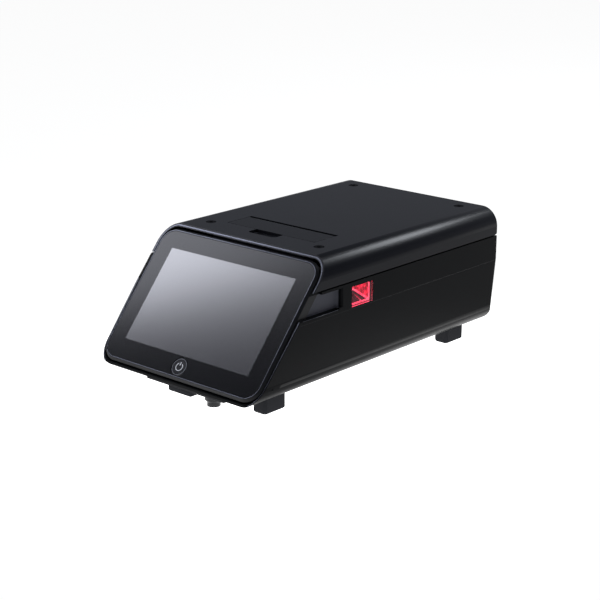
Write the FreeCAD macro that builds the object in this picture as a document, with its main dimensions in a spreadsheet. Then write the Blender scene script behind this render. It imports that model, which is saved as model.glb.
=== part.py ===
import FreeCAD, Part
import math
import os
import re

import Sketcher

# Rapid test reader, all lengths in millimetres.
# X runs across the reader (right is positive), Y from the front to the rear, Z up.
# The origin lies on the bench, in the middle of the footprint.

doc = FreeCAD.newDocument("rapid_test_reader")
sheet = doc.addObject("Spreadsheet::Sheet", "Sizes")

# Driving dimensions, grouped by the piece that they belong to
SIZES = {
    # case
    "body_width": 146.0, "body_height": 93.1, "top_length": 181.0, "nose_cut": 1.31,
    "display_tilt": 50.0, "wall": 2.0, "tray_side": 2.5, "tray_inner_round": 11.0, "overrun": 1.0,
    "match_tolerance": 0.01,
    "cover_side": 19.7, "seam_gap": 1.0, "tray_rim": 16.7, "foot_height": 10.5,
    "side_slope": 0.035, "rear_slope": 0.075, "bottom_round": 13.0, "top_round": 13.0,
    "rear_edge_bevel": 1.8, "rear_edge_round": 2.5, "cover_corner_round": 4.0, "tray_corner_round": 1.5,
    "lip_thick": 1.2, "lip_gap": 0.3, "lip_height": 3.0, "lip_base": 1.6,
    # grip recess in the tray's right side
    "grip_depth": 4.2, "grip_lift": 2.6, "ledge_fall": 1.2, "step_foot": 9.6, "step_head": 10.4,
    "step_round": 1.6, "rail_front": -9.0,
    # screws of the cover
    "screw_inset": 24.7, "screw_front": 16.4, "screw_rear_inset": 14.4, "screw_seat_bore": 3.6,
    "screw_seat_depth": 1.2, "screw_shank": 1.5, "screw_head": 3.2, "screw_head_tall": 1.1,
    "screw_length": 10.0, "screw_hole_gap": 0.1, "screw_clear_hole": 1.8, "screw_socket": 1.3,
    "screw_socket_deep": 0.8, "post_radius": 4.0,
    # vents in the cover's rear wall
    "vent_width": 2.4, "vent_height": 8.0, "vent_spacing": 6.0, "vent_lift": 5.6, "vent_count": 11,
    # display module, in the plane of the display
    "frame_inset": 2.8, "frame_top": 4.4, "frame_lift": 3.93, "frame_proud": 1.7, "frame_deep": 6.0,
    "frame_round": 12.0, "frame_bevel": 1.5, "frame_gap": 0.3, "glass_rim": 2.2,
    "glass_rim_top": 2.5, "glass_rim_end": 2.3, "glass_thick": 1.6, "glass_round": 10.0,
    "glass_gap": 0.15, "glass_sink": 0.1, "ledge_width": 3.6, "panel_side": 12.0,
    "panel_over": 11.6, "panel_under": 13.2, "panel_thick": 4.5, "panel_gap": 0.6,
    "chin_long": 11.6, "chin_sink": 2.2, "chin_thick": 1.2, "carrier_inset": 4.2,
    "carrier_over": 3.6, "carrier_under": 6.3, "carrier_thick": 1.4, "display_board_inset": 10.0,
    "display_board_over": 5.5, "display_board_under": 10.4, "board_thick": 1.6,
    "display_spacer": 2.2, "spacer_radius": 2.6, "display_chip_half": 8.0, "display_chip_tall": 1.8,
    "frame_ledge": 5.0, "ledge_lift": 9.5, "ledge_drop": 0.7, "display_screw_inset": 5.0,
    "display_screw_over": 6.0, "display_screw_under": 13.6, "small_screw_head": 2.0,
    "small_screw_head_tall": 1.2,
    # power button
    "button_lift": 6.4, "button_radius": 6.3, "button_gap": 0.3, "ear_reach": 8.2, "ear_half": 3.6,
    "button_flange_thick": 0.9, "button_travel": 0.8, "button_stem": 3.0, "stem_length": 2.3,
    "stem_gap": 0.08, "switch_half": 2.3, "plunger_radius": 1.5,
    "plunger_length": 1.3, "plunger_gap": 0.2, "switch_slack": 0.2, "button_board_half": 9.0,
    "button_board_over": 7.2, "button_board_under": 2.3, "button_board_thick": 1.0,
    "button_crown": 0.3,
    # code scanner
    "window_front": 20.4, "window_length": 20.8, "window_lift": 0.2, "window_over": 3.1,
    "window_gap": 0.15, "window_flange": 1.5, "window_flange_thick": 1.0,
    "mirror_thick": 1.2, "mirror_margin": 1.2, "mirror_width": 16.0, "mirror_reach": 13.5,
    "scan_engine_wide": 14.0, "scan_lens_radius": 3.2, "scan_lens_long": 3.0,
    "scan_board_thick": 1.2, "scan_board_wide": 12.0, "scan_shelf_thick": 2.0,
    # door in the top, with its bezel
    "door_inset": 9.7, "door_front": 22.9, "door_rear": 45.8, "door_gap": 0.4, "door_thick": 2.0,
    "door_rear_gap": 0.6, "curl_tail": 0.6,
    "door_curl": 3.0, "door_corner": 1.2, "knuckle_long": 9.0, "pin_radius": 0.8, "pin_reach": 3.6,
    "pin_gap": 0.05, "landing_gap": 0.3, "striker_radius": 3.0, "striker_thick": 1.0,
    "striker_inset": 16.6, "striker_back": 2.1, "magnet_radius": 2.0, "magnet_thick": 2.5,
    "bezel_inset": 4.3, "bezel_front": 10.5, "bezel_rear": 52.0, "bezel_deep": 12.0,
    "trough_inset": 9.6, "trough_front": 25.0, "well_rim": 10.2, "barrel_gap": 0.5,
    "pin_end_gap": 0.4, "scoop_half": 12.0, "scoop_front": 13.3, "scoop_under": 24.2,
    "scoop_deep": 4.6, "scoop_round": 3.8, "scoop_corner": 3.0, "scoop_wall": 0.8,
    "sensor_wide": 6.0, "sensor_tall": 3.2, "sensor_inset": 5.6,
    # well, heater and optics
    "well_middle": 33.6, "well_wide": 28.0, "well_deep": 26.0, "well_bore": 8.6, "well_base": 4.5,
    "well_share": 0.61, "well_window": 4.5, "well_corner": 2.5, "heater_wall": 4.0,
    "heater_height": 13.0, "heater_gap": 0.1, "optics_half": 20.0, "optics_share": 0.23, "optics_rim": 2.2,
    "light_path": 4.6, "lens_thick": 3.0, "optics_gap": 0.1, "lamp_radius": 4.0, "lamp_lift": 2.4,
    "lamp_long": 18.6, "lamp_out": 4.6, "detector_radius": 4.0, "detector_tall": 7.0,
    # deck and boards inside
    "deck_side": 29.5, "deck_front": 23.0, "deck_end": 11.0, "deck_thick": 1.5, "deck_inset": 6.0,
    "deck_post": 4.0, "main_side": 0.5, "main_front": 58.0, "main_end": 12.0,
    "main_lift": 6.2, "standoff_radius": 3.0, "main_inset": 5.0, "chip_half": 14.0,
    "chip_tall": 2.0, "sink_base": 2.5, "fin_tall": 9.0, "fin_thick": 1.4, "fin_spacing": 4.2,
    "fin_count": 7, "power_side": 35.0, "power_set": 34.0, "power_long": 42.0,
    "power_height": 18.0, "coil_radius": 7.0, "coil_tall": 6.0, "can_radius": 4.0, "can_tall": 7.0,
    "cable_share": 0.33, "cable_thick": 0.4, "cable_shift": 0.85, "cable_low": 30.0, "plug_rim": 1.5,
    "plug_deep": 5.4, "main_plug_end": 72.4, "small_can_radius": 3.2,
    # ports at the rear
    "bay_inset": 6.3, "bay_drop": 3.0, "bay_tall": 24.5, "bay_gap": 0.05, "bay_rim": 3.0,
    "bay_deep": 8.0, "bay_wall": 1.5, "port_deep": 13.0, "port_proud": 1.0, "port_gap": 0.2,
    "inlet_inset": 12.0, "inlet_half": 4.8, "inlet_tall": 11.0,
    "inlet_bore": 3.2, "inlet_pin": 1.0, "inlet_bore_deep": 9.0, "usb_share": 0.4, "usb_half": 6.6,
    "usb_tall": 15.6, "usb_slot_half": 6.1, "usb_slot_tall": 5.0,
    "usb_slot_deep": 11.0, "net_inset": 19.0, "net_half": 8.0, "net_tall": 13.6,
    "net_slot_half": 5.9, "net_slot_tall": 8.0, "net_slot_deep": 11.0, "net_slot_lift": 2.0,
    # feet
    "foot_inset": 11.1, "foot_wide": 11.5, "foot_long": 20.2, "front_foot_inset": 18.8,
    "rear_foot_inset": 42.6, "foot_corner": 1.8, "foot_bevel": 1.2, "foot_screw_shank": 2.0,
    "foot_screw_head": 3.2, "foot_screw_head_tall": 2.6, "foot_screw_grip": 6.0,
    "foot_bore_deep": 7.0, "foot_bore_gap": 0.1,
    # plate, plug and thumbscrew under the front edge
    "plate_left": -27.0, "plate_clear": 7.4, "plate_inset": 1.6, "plate_long": 26.4,
    "plate_thick": 2.2, "plate_corner": 1.6,
    "plug_left": -6.0, "plug_right": 15.0, "plug_long": 16.4, "plug_tall": 3.4, "plug_bevel": 1.4,
    "knob_side": 28.0, "knob_inset": 6.6, "knob_flange": 5.9, "knob_flange_thick": 2.4,
    "knob_taper": 1.4, "knob_radius": 4.4, "knob_tall": 6.6,
}

# Places and widths that follow from the driving dimensions, each with its own margin.
# Those along Y are measured back from the cover's top front edge.
DERIVED = {
    "front_reach": "(body_height - foot_height) / tan(display_tilt) - nose_cut",
    "seam_height": "body_height - cover_side",
    "crease_height": "seam_height - tray_rim",
    "grip_bottom": "crease_height + grip_lift",
    "screw_across": "body_width / 2 - screw_inset",
    "screw_rear": "top_length - screw_rear_inset",
    "vent_low": "seam_height + vent_lift",
    "frame_half": "body_width / 2 - frame_inset",
    "frame_end": "(body_height - foot_height) / sin(display_tilt) - frame_lift",
    "glass_half": "frame_half - glass_rim",
    "glass_top": "frame_top + glass_rim_top",
    "glass_end": "frame_end - glass_rim_end",
    "panel_half": "glass_half - panel_side",
    "panel_top": "glass_top + panel_over",
    "panel_end": "glass_end - panel_under",
    "chin_top": "glass_end - chin_long",
    "carrier_half": "frame_half - carrier_inset",
    "carrier_top": "frame_top + carrier_over",
    "carrier_end": "frame_end - carrier_under",
    "display_board_half": "panel_half - display_board_inset",
    "display_board_top": "panel_top + display_board_over",
    "display_board_end": "panel_end - display_board_under",
    "ledge_low": "foot_height + ledge_lift",
    "ledge_high": "crease_height - ledge_drop",
    "display_screw_half": "carrier_half - display_screw_inset",
    "display_screw_top": "carrier_top + display_screw_over",
    "display_screw_end": "carrier_end - display_screw_under",
    "button_drop": "glass_end - button_lift",
    "button_board_top": "button_drop - button_board_over",
    "button_board_end": "button_drop + button_board_under",
    "window_low": "crease_height + window_lift",
    "window_height": "tray_rim - window_lift - window_over",
    "door_half": "screw_across - door_inset",
    "striker_side": "door_half - striker_inset",
    "bezel_half": "screw_across - bezel_inset",
    "trough_half": "door_half - trough_inset",
    "sensor_side": "door_half - sensor_inset",
    "inside_height": "body_height - bezel_deep - foot_height - 2 * wall",
    "well_low": "foot_height + wall + well_share * inside_height",
    "well_floor": "well_low + well_base",
    "optics_low": "foot_height + wall + optics_share * inside_height",
    "lamp_height": "(well_low + optics_low) / 2 + lamp_lift",
    "main_height": "optics_low + main_lift",
    "bay_half": "screw_across - bay_inset",
    "bay_low": "main_height - bay_drop",
    "bay_high": "bay_low + bay_tall",
    "cable_half": "cable_share * (screw_across - post_radius - optics_half)",
    "cable_side": "0 - (screw_across - post_radius + optics_half) / 2 - cable_shift",
    "plug_half": "cable_half + plug_rim",
    "deck_half": "body_width / 2 - deck_side",
    "deck_rear": "top_length - deck_end",
    "main_half": "deck_half - main_side",
    "main_rear": "top_length - main_end",
    "power_half": "body_width / 2 - power_side",
    "power_front": "power_set - front_reach",
    "power_rear": "power_front + power_long",
    "inlet_side": "inlet_inset - main_half",
    "net_side": "main_half - net_inset",
    "usb_side": "inlet_side + usb_share * (net_side - inlet_side)",
    "foot_outer": "body_width / 2 - foot_inset",
    "front_foot": "front_foot_inset - front_reach",
    "rear_foot": "top_length - rear_foot_inset",
    "plate_front": "plate_inset - front_reach",
    "plate_right": "foot_outer - foot_wide - plate_clear",
    "plate_rear": "plate_front + plate_long",
    "plug_rear": "plate_front + plug_long",
}

cells = [(alias, f"{size:g}") for alias, size in SIZES.items()]
cells += [(alias, f"={formula}") for alias, formula in DERIVED.items()]
for row, (alias, content) in enumerate(cells, start=1):
    sheet.set(f"A{row}", alias.replace("_", " "))
    sheet.setAlias(f"B{row}", alias)
for row, (alias, content) in enumerate(cells, start=1):
    sheet.set(f"B{row}", content)
doc.recompute()


def sized(text):
    """Turns a formula in plain size names into one that reads the sheet."""
    return re.sub(r"\b([a-z][a-z_]+)\b(?!\()", r"Sizes.\1", text)


def value(formula):
    """Number that a formula of size names stands for."""
    result = sheet.evalExpression(sized(formula))
    return float(getattr(result, "Value", result))


# Places that many pieces share, as formulas of the driving dimensions
HALF = "body_width / 2"
TOP_EDGE = "(front_reach - top_length) / 2"
REAR = "(front_reach + top_length) / 2"
FRONT = "0 - (front_reach + top_length) / 2"
COVER_LOW = "(seam_height + seam_gap)"
COVER_UNDER = "(body_height - wall)"
FLOOR = "(foot_height + wall)"
DOOR_AXIS_Y = f"({TOP_EDGE} + door_rear - door_curl)"
DOOR_AXIS_Z = "(body_height - door_curl)"
WELL_Y = f"({TOP_EDGE} + well_middle)"
BEZEL_LOW = f"({COVER_UNDER} - bezel_deep)"
DECK_LOW = "(optics_low - board_thick - deck_thick)"
SIDES = ("1", "-1")


def from_top(name):
    """Y of a place measured back from the cover's top front edge."""
    return f"({TOP_EDGE} + {name})"


def slope_y(height, inset="0"):
    """Y of the case's sloping front at a height, or of a plane that lies inset behind it."""
    return f"({TOP_EDGE} - (body_height - ({height})) / tan(display_tilt) + {inset} / sin(display_tilt))"


def new_body(label):
    body = doc.addObject("PartDesign::Body", label)
    body.Label = label
    body.AllowCompound = True
    return body


def sketch_on(body, plane, height):
    """Sketch on one of the body's own planes, moved along the plane's normal."""
    for feature in body.Origin.OriginFeatures:
        if feature.Role == plane:
            support = feature
    sketch = body.newObject("Sketcher::SketchObject", f"{body.Name}_sketch")
    sketch.AttachmentSupport = [(support, "")]
    sketch.MapMode = "FlatFace"
    sketch.setExpression("AttachmentOffset.Base.z", sized(height))
    return sketch


def draw_outline(sketch, corners):
    """Closed outline of straight edges; each corner is a pair of formulas."""
    count = len(corners)
    first = sketch.GeometryCount
    points = [FreeCAD.Vector(value(x), value(y), 0) for x, y in corners]
    for i in range(count):
        sketch.addGeometry(Part.LineSegment(points[i], points[(i + 1) % count]), False)
    for i in range(count):
        following = first + (i + 1) % count
        sketch.addConstraint(Sketcher.Constraint("Coincident", first + i, 2, following, 1))
    for i in range(count):
        place_point(sketch, first + i, 1, points[i], corners[i])


def draw_circle(sketch, centre, radius):
    """Circle whose centre and radius are formulas."""
    start = FreeCAD.Vector(value(centre[0]), value(centre[1]), 0)
    index = sketch.addGeometry(Part.Circle(start, FreeCAD.Vector(0, 0, 1), value(radius)), False)
    place_point(sketch, index, 3, start, centre)
    number = sketch.addConstraint(Sketcher.Constraint("Radius", index, value(radius)))
    sketch.setExpression(f"Constraints[{number}]", sized(radius))


def place_point(sketch, geometry, point, start, place):
    """Ties one point of a sketch to two formulas."""
    for axis, guess, formula in (("DistanceX", start.x, place[0]), ("DistanceY", start.y, place[1])):
        constraint = Sketcher.Constraint(axis, -1, 1, geometry, point, guess)
        number = sketch.addConstraint(constraint)
        sketch.setExpression(f"Constraints[{number}]", sized(formula))


def draw_quarter(sketch, corners, centre, radius, turns):
    """Chain of straight edges that a quarter arc closes, which starts after so many quarter turns."""
    points = [FreeCAD.Vector(value(x), value(y), 0) for x, y in corners]
    last = len(points) - 2
    for i in range(last + 1):
        sketch.addGeometry(Part.LineSegment(points[i], points[i + 1]), False)
    for i in range(last):
        sketch.addConstraint(Sketcher.Constraint("Coincident", i, 2, i + 1, 1))
    for i in range(last + 1):
        place_point(sketch, i, 1, points[i], corners[i])
    place_point(sketch, last, 2, points[-1], corners[-1])
    middle = FreeCAD.Vector(value(centre[0]), value(centre[1]), 0)
    circle = Part.Circle(middle, FreeCAD.Vector(0, 0, 1), value(radius))
    quarter = math.pi / 2
    arc = sketch.addGeometry(Part.ArcOfCircle(circle, turns * quarter, (turns + 1) * quarter), False)
    reach = sketch.getPoint(arc, 1) - points[0]
    ends = (1, 2) if near(reach.Length, 0) else (2, 1)
    sketch.addConstraint(Sketcher.Constraint("Coincident", arc, ends[0], 0, 1))
    sketch.addConstraint(Sketcher.Constraint("Coincident", arc, ends[1], last, 2))
    number = sketch.addConstraint(Sketcher.Constraint("DistanceX", -1, 1, arc, 3, middle.x))
    sketch.setExpression(f"Constraints[{number}]", sized(centre[0]))


def rectangle(low_x, low_y, high_x, high_y):
    return [(low_x, low_y), (high_x, low_y), (high_x, high_y), (low_x, high_y)]


def extrude(body, plane, start, length, shapes, cut=False):
    """Adds or cuts a straight prism from start, towards +X, +Y or +Z.

    shapes holds outlines (lists of corners) and circles (centre, radius).
    """
    along_y = plane == "XZ_Plane"
    sketch = sketch_on(body, plane, f"0 - ({start})" if along_y else start)
    for shape in shapes:
        if isinstance(shape, list):
            draw_outline(sketch, shape)
        else:
            draw_circle(sketch, shape[0], shape[1])
    kind = "Pocket" if cut else "Pad"
    feature = body.newObject(f"PartDesign::{kind}", f"{body.Name}_{kind.lower()}")
    feature.Profile = sketch
    feature.setExpression("Length", sized(length))
    feature.Reversed = along_y != cut
    sketch.Visibility = False
    return feature


def add(body, plane, start, length, *shapes):
    return extrude(body, plane, start, length, shapes)


def cut(body, plane, start, length, *shapes):
    return extrude(body, plane, start, length, shapes, cut=True)


def edges_of(body, test):
    """Names of the straight edges of a body's tip for which the test holds.

    The test gets the edge's direction, its middle and the box of the whole shape.
    """
    doc.recompute()
    shape = body.Tip.Shape
    names = []
    for number, edge in enumerate(shape.Edges, start=1):
        if not isinstance(edge.Curve, Part.Line):
            continue
        ends = [vertex.Point for vertex in edge.Vertexes]
        direction = (ends[1] - ends[0]).normalize()
        if test(direction, (ends[0] + ends[1]) / 2, shape.BoundBox):
            names.append(f"Edge{number}")
    return names


def near(first, second):
    return abs(first - second) < value("match_tolerance")


def upright(direction, middle, box):
    return near(abs(direction.z), 1)


def soften(body, radius, test, kind="Fillet"):
    """Rounds or bevels the edges that the test picks."""
    names = edges_of(body, test)
    base = body.Tip
    feature = body.newObject(f"PartDesign::{kind}", f"{body.Name}_{kind.lower()}")
    feature.Base = (base, names)
    feature.setExpression("Size" if kind == "Chamfer" else "Radius", sized(radius))
    return feature


def soften_rim(body, width, upper=True):
    """Bevels the outline of the upper or the lower face, straight runs and corners alike."""
    doc.recompute()
    base = body.Tip
    shape = base.Shape
    level = shape.BoundBox.ZMax if upper else shape.BoundBox.ZMin
    rim = []
    for face in shape.Faces:
        if all(near(vertex.Point.z, level) for vertex in face.Vertexes):
            rim += face.OuterWire.Edges
    names = []
    for number, edge in enumerate(shape.Edges, start=1):
        if any(edge.isSame(other) for other in rim):
            names.append(f"Edge{number}")
    feature = body.newObject("PartDesign::Chamfer", f"{body.Name}_rim")
    feature.Base = (base, names)
    feature.setExpression("Size", sized(width))


def tilt_onto_display(body):
    """Puts a body drawn flat onto the display's plane: its Y runs up the slope, its Z outwards."""
    turn = FreeCAD.Rotation(FreeCAD.Vector(1, 0, 0), value("display_tilt"))
    body.Placement = FreeCAD.Placement(FreeCAD.Vector(0, 0, 0), turn)
    body.setExpression("Placement.Rotation.Angle", sized("display_tilt"))
    body.setExpression("Placement.Base.y", sized(TOP_EDGE))
    body.setExpression("Placement.Base.z", sized("body_height"))


def screw_places():
    """The four cover screws."""
    rows = ("screw_front", "screw_rear")
    return [(f"{side} * screw_across", from_top(row)) for side in SIDES for row in rows]


# Case


def make_top_cover():
    """Cover folded to a U, cut along the display's slope, with a rear wall."""
    body = new_body("top_cover")
    outer = rectangle(f"0 - {HALF}", COVER_LOW, HALF, "body_height")
    start = slope_y(COVER_LOW)
    add(body, "XZ_Plane", start, f"{REAR} - {start}", outer)
    inner = rectangle(f"wall - {HALF}", f"{COVER_LOW} - overrun", f"{HALF} - wall", COVER_UNDER)
    cut(body, "XZ_Plane", f"{start} - overrun", f"{REAR} - wall - {start} + overrun", inner)
    inner_height = value(COVER_UNDER)
    soften(body, "top_round - wall", lambda d, m, box: near(abs(d.y), 1) and near(m.z, inner_height))
    soften(body, "top_round", lambda d, m, box: near(abs(d.y), 1) and near(m.z, box.ZMax))
    soften(body, "rear_edge_bevel",
           lambda d, m, box: near(m.y, box.YMax) and not near(m.z, box.ZMin), kind="Chamfer")
    high = "body_height + overrun"
    low = f"{COVER_LOW} - overrun"
    front = f"{start} - 2 * overrun"
    wedge = [(slope_y(f"({high})"), high), (front, high), (front, low), (slope_y(f"({low})"), low)]
    cut(body, "YZ_Plane", f"0 - {HALF} - overrun", "body_width + 2 * overrun", wedge)
    round_rear_corner(body, COVER_LOW, "1", "cover_corner_round")
    door_hole = rectangle("0 - door_half - door_gap", from_top("door_front - door_gap"),
                          "door_half + door_gap", from_top("door_rear + door_rear_gap"))
    cut(body, "XY_Plane", f"{COVER_UNDER} - overrun", "wall + 2 * overrun", door_hole)
    scoop = rectangle("0 - scoop_half", from_top("scoop_front"), "scoop_half", from_top("door_front"))
    cut(body, "XY_Plane", f"{COVER_UNDER} - overrun", "wall + 2 * overrun", scoop)
    scoop_y = value(from_top("scoop_front"))
    soften(body, "scoop_corner", lambda d, m, box: upright(d, m, box) and near(m.y, scoop_y))
    holes = [hexagon(place, "screw_clear_hole") for place in screw_places()]
    cut(body, "XY_Plane", f"{COVER_UNDER} - overrun", "wall + 2 * overrun", *holes)
    seats = [(place, "screw_seat_bore") for place in screw_places()]
    cut(body, "XY_Plane", "body_height - screw_seat_depth", "screw_seat_depth + overrun", *seats)
    slot = rectangle("0 - vent_width / 2 - vent_spacing * (vent_count - 1) / 2", "vent_low",
                     "vent_width / 2 - vent_spacing * (vent_count - 1) / 2", "vent_low + vent_height")
    vent = cut(body, "XZ_Plane", f"{REAR} - wall - overrun", "wall + 2 * overrun", slot)
    repeat(body, vent, "X_Axis", "vent_spacing * (vent_count - 1)", "vent_count")
    return body


def round_rear_corner(body, height, up, radius):
    """Takes the lower (up = 1) or upper (up = -1) rear corner off a shell, as a bevelled round."""
    steps = 4
    corners = [(f"{REAR} + overrun", f"{height} - {up} * overrun"),
               (f"{REAR} - {radius}", f"{height} - {up} * overrun")]
    for step in range(steps + 1):
        angle = step * math.pi / 2 / steps
        share_y = f"{math.sin(angle):.6f}"
        share_z = f"{1 - math.cos(angle):.6f}"
        corners.append((f"{REAR} - {radius} + {radius} * {share_y}",
                        f"{height} + {up} * {radius} * {share_z}"))
    corners.append((f"{REAR} + overrun", f"{height} + {up} * {radius}"))
    cut(body, "YZ_Plane", f"0 - {HALF} - overrun", "body_width + 2 * overrun", corners)


def repeat(body, feature, axis, length, count):
    """Row of copies of one feature along an axis of the body."""
    for candidate in body.Origin.OriginFeatures:
        if candidate.Role == axis:
            direction = candidate
    pattern = body.newObject("PartDesign::LinearPattern", f"{body.Name}_row")
    pattern.Originals = [feature]
    pattern.Direction = (direction, [""])
    pattern.setExpression("Length", sized(length))
    pattern.setExpression("Occurrences", sized(count))
    body.Tip = pattern
    return pattern


def make_lower_housing():
    """Tray with drafted lower sides, a grip recess, posts and an inner lip for the cover."""
    body = new_body("lower_housing")
    box = rectangle(f"0 - {HALF}", FRONT, HALF, REAR)
    add(body, "XY_Plane", "foot_height", "seam_height - foot_height", box)
    rear = f"({REAR} - wall)"
    inside = [(f"{FRONT} - overrun", FLOOR), (f"{rear} - rear_slope * (crease_height - {FLOOR})", FLOOR),
              (rear, "crease_height"), (rear, "seam_height + overrun"),
              (f"{FRONT} - overrun", "seam_height + overrun")]
    cut(body, "YZ_Plane", f"tray_side - {HALF}", "body_width - 2 * tray_side", inside)
    floor = value(FLOOR)
    side = value(f"{HALF} - tray_side")
    soften(body, "tray_inner_round",
           lambda d, m, box: near(abs(d.y), 1) and near(m.z, floor) and near(abs(m.x), side))
    for side in SIDES:
        cut_draft(body, "XZ_Plane", side, HALF, "side_slope", f"{FRONT} - overrun",
                  "front_reach + top_length")
    cut_draft(body, "YZ_Plane", "1", REAR, "rear_slope", f"0 - {HALF} - overrun", "body_width")
    soften(body, "bottom_round", lambda d, m, box: near(abs(d.y), 1) and near(m.z, box.ZMin))
    for side in SIDES:
        round_tray_corner(body, side)
    add_lip(body)
    add_grip_backing(body)
    cut_behind_frame(body)
    for side in SIDES:
        add_frame_ledge(body, side)
    cut_grip(body)
    cut_front_slope(body)
    round_rear_corner(body, "seam_height", "-1", "tray_corner_round")
    posts = [hexagon(place, "post_radius") for place in screw_places()]
    add(body, "XY_Plane", FLOOR, f"{COVER_UNDER} - {FLOOR}", *posts)
    bores = [hexagon(place, "(screw_shank + screw_hole_gap)") for place in screw_places()]
    cut(body, "XY_Plane", f"{COVER_UNDER} - screw_length", "screw_length + overrun", *bores)
    posts = [hexagon(place, "deck_post") for place in deck_places()]
    add(body, "XY_Plane", FLOOR, f"{DECK_LOW} - {FLOOR}", *posts)
    bores = [hexagon(place, "(foot_screw_shank + foot_bore_gap)") for place in foot_places()]
    cut(body, "XY_Plane", "foot_height - overrun", "wall + 2 * overrun", *bores)
    window = rectangle(from_top("window_front - window_gap"), "window_low - window_gap",
                       from_top("window_front + window_length + window_gap"),
                       "window_low + window_height + window_gap")
    cut(body, "YZ_Plane", f"{HALF} - tray_side - overrun", "tray_side + 2 * overrun", window)
    bay = rectangle("0 - bay_half - bay_gap", "bay_low - bay_gap",
                    "bay_half + bay_gap", "bay_high + bay_gap")
    cut(body, "XZ_Plane", f"{REAR} - 3 * wall - overrun", "3 * wall + 2 * overrun", bay)
    return body


def cut_draft(body, plane, side, face, slope, start, length):
    """Leans one outer face of the tray inwards below the crease."""
    low = "(foot_height - overrun)"
    shape = [(f"{side} * {face}", "crease_height"), (f"{side} * ({face} + overrun)", "crease_height"),
             (f"{side} * ({face} + overrun)", low),
             (f"{side} * ({face} - {slope} * (crease_height - {low}))", low)]
    cut(body, plane, start, f"{length} + 2 * overrun", shape)


def round_tray_corner(body, side):
    """Rounds a rear upright edge of the tray, straight above the crease and with the lean below it."""
    radius = "rear_edge_round"
    far_x = f"{side} * ({HALF} + overrun)"
    near_x = f"{side} * ({HALF} - {radius})"
    edge_y = f"({REAR} - {radius})"
    far_y = f"({REAR} + overrun)"
    corners = [(f"{side} * {HALF}", edge_y), (far_x, edge_y), (far_x, far_y),
               (near_x, far_y), (near_x, REAR)]
    rise = "(seam_height + overrun - crease_height)"
    fall = "(crease_height - foot_height + overrun)"
    for upwards, length in ((True, rise), (False, fall)):
        sketch = sketch_on(body, "XY_Plane", "crease_height")
        draw_quarter(sketch, corners, (near_x, edge_y), radius, 0 if side == "1" else 1)
        pocket = body.newObject("PartDesign::Pocket", f"{body.Name}_corner")
        pocket.Profile = sketch
        pocket.setExpression("Length", sized(length))
        pocket.Reversed = upwards
        if not upwards:
            pocket.UseCustomVector = True
            pocket.Direction = FreeCAD.Vector(0, 0, -1)
            pocket.setExpression("Direction.x", sized(f"0 - {side} * side_slope"))
            pocket.setExpression("Direction.y", sized("0 - rear_slope"))
        sketch.Visibility = False


def add_lip(body):
    """Inner lip along the sides and the rear, which stands up inside the cover."""
    inner = f"({HALF} - wall - lip_gap - lip_thick)"
    outer = f"({HALF} - wall - lip_gap)"
    joined = f"({HALF} - wall / 2)"
    front = slope_y("seam_height")
    inset = f"({REAR} - {HALF})"
    for low, height, edge in (("seam_height - lip_base", "lip_base", joined),
                              ("seam_height", "lip_height", outer)):
        shape = [(edge, front), (edge, f"{inset} + {edge}"), (f"0 - {edge}", f"{inset} + {edge}"),
                 (f"0 - {edge}", front), (f"0 - {inner}", front), (f"0 - {inner}", f"{inset} + {inner}"),
                 (inner, f"{inset} + {inner}"), (inner, front)]
        add(body, "XY_Plane", low, height, shape)


def add_grip_backing(body):
    """Wall that closes the grip recess towards the inside."""
    block = rectangle(f"{HALF} - grip_depth - wall", f"{slope_y('grip_bottom')}",
                      f"{HALF} - wall / 2", from_top("step_head + wall"))
    add(body, "XY_Plane", "grip_bottom - wall", "seam_height - grip_bottom + wall", block)


def cut_behind_frame(body):
    """Keeps lip and backing clear of the display frame's rear."""
    depth = "(frame_deep + frame_gap)"
    low = "(grip_bottom - wall - overrun)"
    high = "(seam_height + lip_height + overrun)"
    front = f"{slope_y(low)} - overrun"
    shape = [(slope_y(low, depth), low), (slope_y(high, depth), high), (front, high), (front, low)]
    cut(body, "YZ_Plane", f"tray_side - {HALF}", "body_width - 2 * tray_side", shape)


def add_frame_ledge(body, side):
    """Ledge along the tray's side that the display frame rests on."""
    back = "(frame_deep + frame_ledge)"
    shape = [(slope_y("ledge_low", "frame_deep"), "ledge_low"),
             (slope_y("ledge_high", "frame_deep"), "ledge_high"),
             (slope_y("ledge_high", back), "ledge_high"), (slope_y("ledge_low", back), "ledge_low")]
    inner = "(carrier_half + frame_gap)"
    outer = f"({HALF} - tray_side / 2)"
    start = inner if side == "1" else f"0 - {outer}"
    add(body, "YZ_Plane", start, f"{outer} - {inner}", shape)


def cut_grip(body):
    """Recess for the fingers in the right side, with a steep step at its rear and a rail above it."""
    outside = f"({HALF} + overrun)"
    floor = f"({HALF} - grip_depth)"
    front = f"{slope_y('grip_bottom')} - overrun"
    rail = "(seam_height - lip_base)"
    shape = [(outside, front), (floor, front), (floor, from_top("step_foot")),
             (HALF, from_top("step_head")), (outside, from_top("step_head"))]
    cut(body, "XY_Plane", "grip_bottom", f"{rail} - grip_bottom", shape)
    bends = (value(from_top("step_foot")), value(from_top("step_head")))
    recess = value(floor)
    level = value("grip_bottom")
    soften(body, "step_round", lambda d, m, box: upright(d, m, box) and m.x > recess - value("wall") / 2
           and any(near(m.y, bend) for bend in bends) and m.z > level)
    fall = f"(ledge_fall * ({HALF} + overrun - {floor}) / grip_depth)"
    ledge = [(floor, "grip_bottom"), (outside, "grip_bottom"), (outside, f"grip_bottom - {fall}")]
    cut(body, "XZ_Plane", front, f"{from_top('step_foot')} - step_round - ({front})", ledge)
    above = rectangle(outside, front, f"{HALF} - wall - lip_gap", from_top("rail_front"))
    cut(body, "XY_Plane", rail, "lip_base + overrun", above)


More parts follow.
